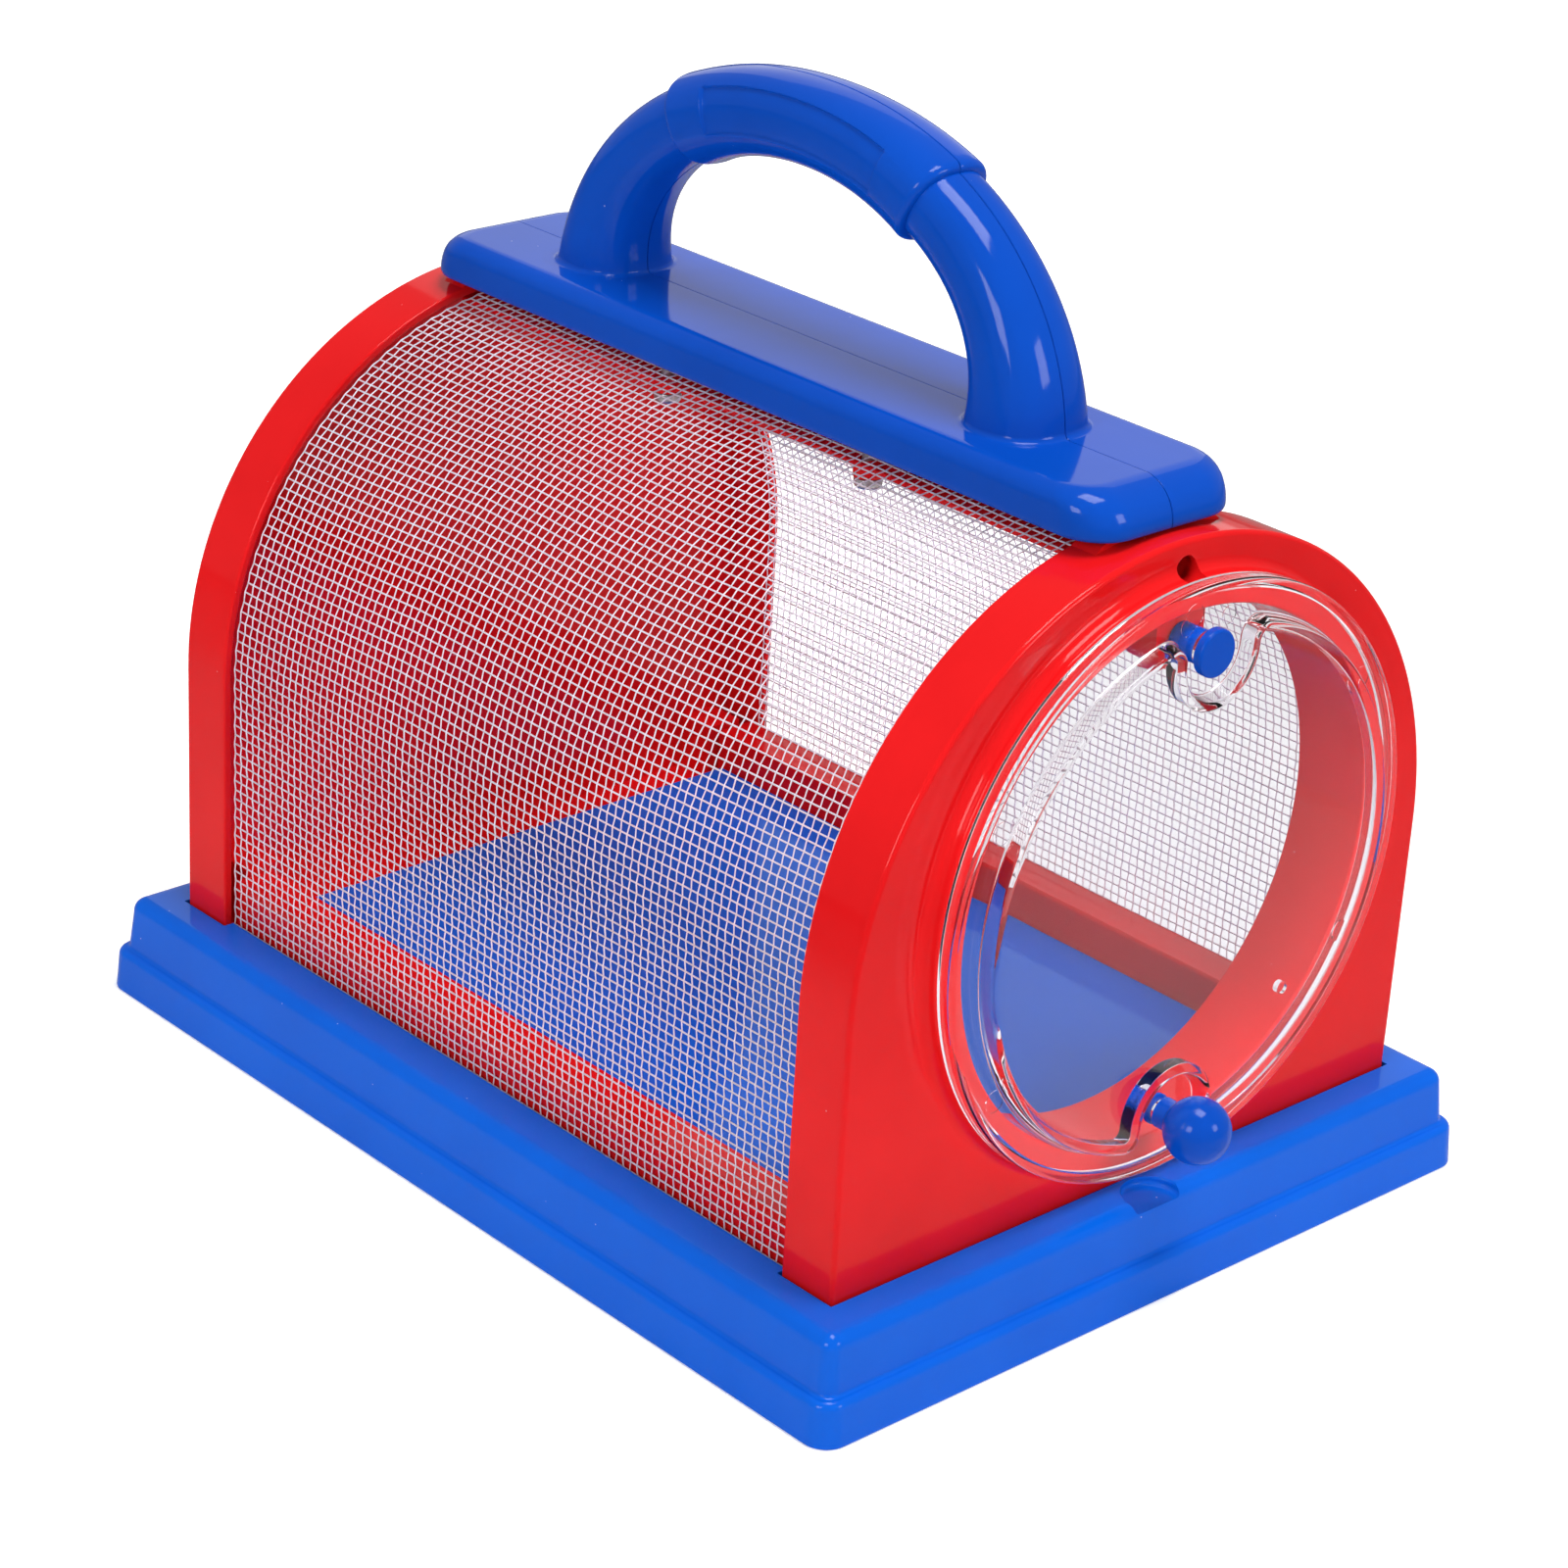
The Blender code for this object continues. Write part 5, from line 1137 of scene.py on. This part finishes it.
def mould_mark(x, z, radius):
    """A shallow disc to sink into the back of the door's rim, where a pin pushed it out of the mould."""
    back = FACE_Y - (RIM_FRONT - DOOR_WALL)
    return rod(radius, (x, back + OVERCUT, DOOR_Z + z), (x, back - MARK_DEPTH, DOOR_Z + z), 40)


def door_hole(radius, z):
    return rod(radius, (0, FACE_Y - DOOR_BACK, z), (0, FACE_Y - WINDOW_FRONT, z), 48)


door = as_object("swing_door_moulding", skin_over(door_rings()))
marks = [mould_mark(MARK_REACH * math.cos(angle), MARK_REACH * math.sin(angle), MARK_RADIUS)
         for angle in map(math.radians, MARK_ANGLES)]
marks += [mould_mark(side * PIN_PLACE[0], PIN_PLACE[1], PIN_RADIUS) for side in (-1, 1)]
gate_x, gate_z = GATE_PLACE
gate_foot = FACE_Y - (WINDOW_FRONT - DOOR_WALL / 2)
gate = rod(GATE_RADIUS, (gate_x, gate_foot, DOOR_Z + gate_z),
           (gate_x, gate_foot + DOOR_WALL / 2 + GATE_HEIGHT, DOOR_Z + gate_z), 32)
shape_with(door, "UNION", gate)
shape_with(door, "DIFFERENCE", *marks, door_hole(PEG_HOLE, PIVOT_Z), door_hole(KNOB_HOLE, KNOB_Z))
dress(door, clear_plastic(), "clear_plastic", "door", "swing_door", crease=30)


# Ball knob: a blue ball on a short neck that the door is swung by.
# Its stem goes through the door's lower pocket and is spread flat behind it to hold it there.
KNOB_RADIUS = 6.3 * MM
KNOB_CENTRE = 16.0 * MM
KNOB_NECK = 3.0 * MM
KNOB_STEM = 1.9 * MM
KNOB_SPREAD = 3.0 * MM
KNOB_SPREAD_HEIGHT = 1.2 * MM
NECK_FILLET = 0.8 * MM
KNOB_PLAY = 0.3 * MM
KNOB_STEPS = 24

neck_angle = -math.acos((KNOB_NECK + NECK_FILLET) / (KNOB_RADIUS + NECK_FILLET))
neck_z = KNOB_CENTRE + (KNOB_RADIUS + NECK_FILLET) * math.sin(neck_angle)
knob_seat = RIM_FRONT + KNOB_PLAY
knob_back = RIM_FRONT - DOOR_WALL - KNOB_PLAY
knob_profile = [*arc_points((0, KNOB_CENTRE), KNOB_RADIUS, math.pi / 2, neck_angle, KNOB_STEPS),
                (KNOB_NECK, neck_z), (KNOB_NECK, knob_seat), (KNOB_STEM, knob_seat), (KNOB_STEM, knob_back),
                (KNOB_SPREAD, knob_back), (KNOB_SPREAD, knob_back - KNOB_SPREAD_HEIGHT / 2),
                (KNOB_STEM, knob_back - KNOB_SPREAD_HEIGHT), (0, knob_back - KNOB_SPREAD_HEIGHT)]
knob = as_object("ball_knob_moulding", turned(knob_profile, facing_out(KNOB_Z), 64))
# The knob wears the handle's darker blue, which is painted shade.
dress(knob, painted_shade_handle_plastic, "blue_plastic", "door", "ball_knob")


# Studio: a wide pale floor, a soft lamp above, weaker ones round about, and a white surround.
# The floor is lifted for the camera, more so far away, and dimmed in reflections; it keeps the shadow.
# The camera stands where the photograph was taken from.
FLOOR_HALF = 4.0
FLOOR_DEPTH = 20 * MM
FLOOR_COLOUR = (0.96, 0.96, 0.96, 1.0)
FLOOR_NEAR = (0.62, 0.62, 0.62, 1.0)
FLOOR_FAR = (0.28, 0.28, 0.28, 1.0)
FLOOR_DIM_SPAN = (0.22, 0.40)
FLOOR_LIFT = (0.30, 0.30, 0.30, 1.0)
FLOOR_BEYOND = (1.0, 1.0, 1.0, 1.0)
FLOOR_CLEAR_SPAN = (0.45, 1.30)
SURROUND = 0.36
CAMERA_PLACE = (-0.50062, -0.52399, 0.39425)
CAMERA_AZIMUTH = math.radians(-43.42)
CAMERA_ELEVATION = math.radians(24.44)
CAMERA_ROLL = math.radians(3.37)
CAMERA_FILM = 36
CAMERA_LENS = 94.16
CAMERA_REACH = 20
LAMP_AIM = (0, 0, 0.08)
LAMPS = (("top_lamp", (0.05, -0.22, 1.5), 0.6, 14.5), ("left_lamp", (-1.4, -0.35, 0.75), 0.5, 7.8),
         ("right_lamp", (0.5, -1.5, 0.75), 0.5, 6.8), ("back_lamp", (1.0, 1.05, 0.75), 1.1, 2.6))

floor = as_object("floor", block((-FLOOR_HALF, -FLOOR_HALF, -FLOOR_DEPTH), (FLOOR_HALF, FLOOR_HALF, 0)))
floor_finish, floor_shader, floor_place = new_material("pale_floor")
floor_tree = floor_finish.node_tree
distance = floor_place.node("ShaderNodeVectorMath", {"operation": "LENGTH"}, {0: floor_place}, 1)
mirrored = distance.between(*FLOOR_DIM_SPAN).blend(FLOOR_NEAR, FLOOR_FAR)
ray(floor_tree, "Glossy").blend(FLOOR_COLOUR, mirrored).feeds(floor_shader, "Base Color")
lift = distance.between(*FLOOR_CLEAR_SPAN).blend(FLOOR_LIFT, FLOOR_BEYOND)
seen = (ray(floor_tree, "Camera") + ray(floor_tree, "Transmission")).between(0.0, 1.0)
seen.blend((0, 0, 0, 1), lift).feeds(floor_shader, "Emission Color")
for name, value in (("Roughness", 1.0), ("Specular IOR Level", 0.0), ("Emission Strength", 1.0)):
    floor_shader.inputs[name].default_value = value
floor.data.materials.append(floor_finish)

for name, place, size, power in LAMPS:
    lamp = bpy.data.lights.new(name, "AREA")
    lamp.size = size
    lamp.energy = power
    stand = placed(name, lamp)
    stand.location = place
    stand.rotation_euler = (Vector(LAMP_AIM) - Vector(place)).to_track_quat("-Z", "Y").to_euler()

world = bpy.data.worlds.new("white_surround")
world.use_nodes = True
bpy.context.scene.world = world
sky = world.node_tree.nodes["Background"]
seen = (ray(world.node_tree, "Camera") + ray(world.node_tree, "Transmission")).between(0.0, 1.0)
(SURROUND + (1 - SURROUND) * seen).feeds(sky, "Strength")
sky.inputs["Color"].default_value = (1, 1, 1, 1)

camera = placed("photo_camera", bpy.data.cameras.new("photo_camera"))
camera.data.sensor_width = CAMERA_FILM
camera.data.lens = CAMERA_LENS
camera.data.clip_end = CAMERA_REACH
back = Vector((math.sin(CAMERA_AZIMUTH) * math.cos(CAMERA_ELEVATION),
               -math.cos(CAMERA_AZIMUTH) * math.cos(CAMERA_ELEVATION), math.sin(CAMERA_ELEVATION)))
level = (-back).to_track_quat("-Z", "Y").to_matrix().to_4x4()
camera.matrix_world = Matrix.Translation(CAMERA_PLACE) @ level @ Matrix.Rotation(CAMERA_ROLL, 4, "Z")
bpy.context.scene.camera = camera
bpy.context.scene.view_settings.view_transform = "Standard"
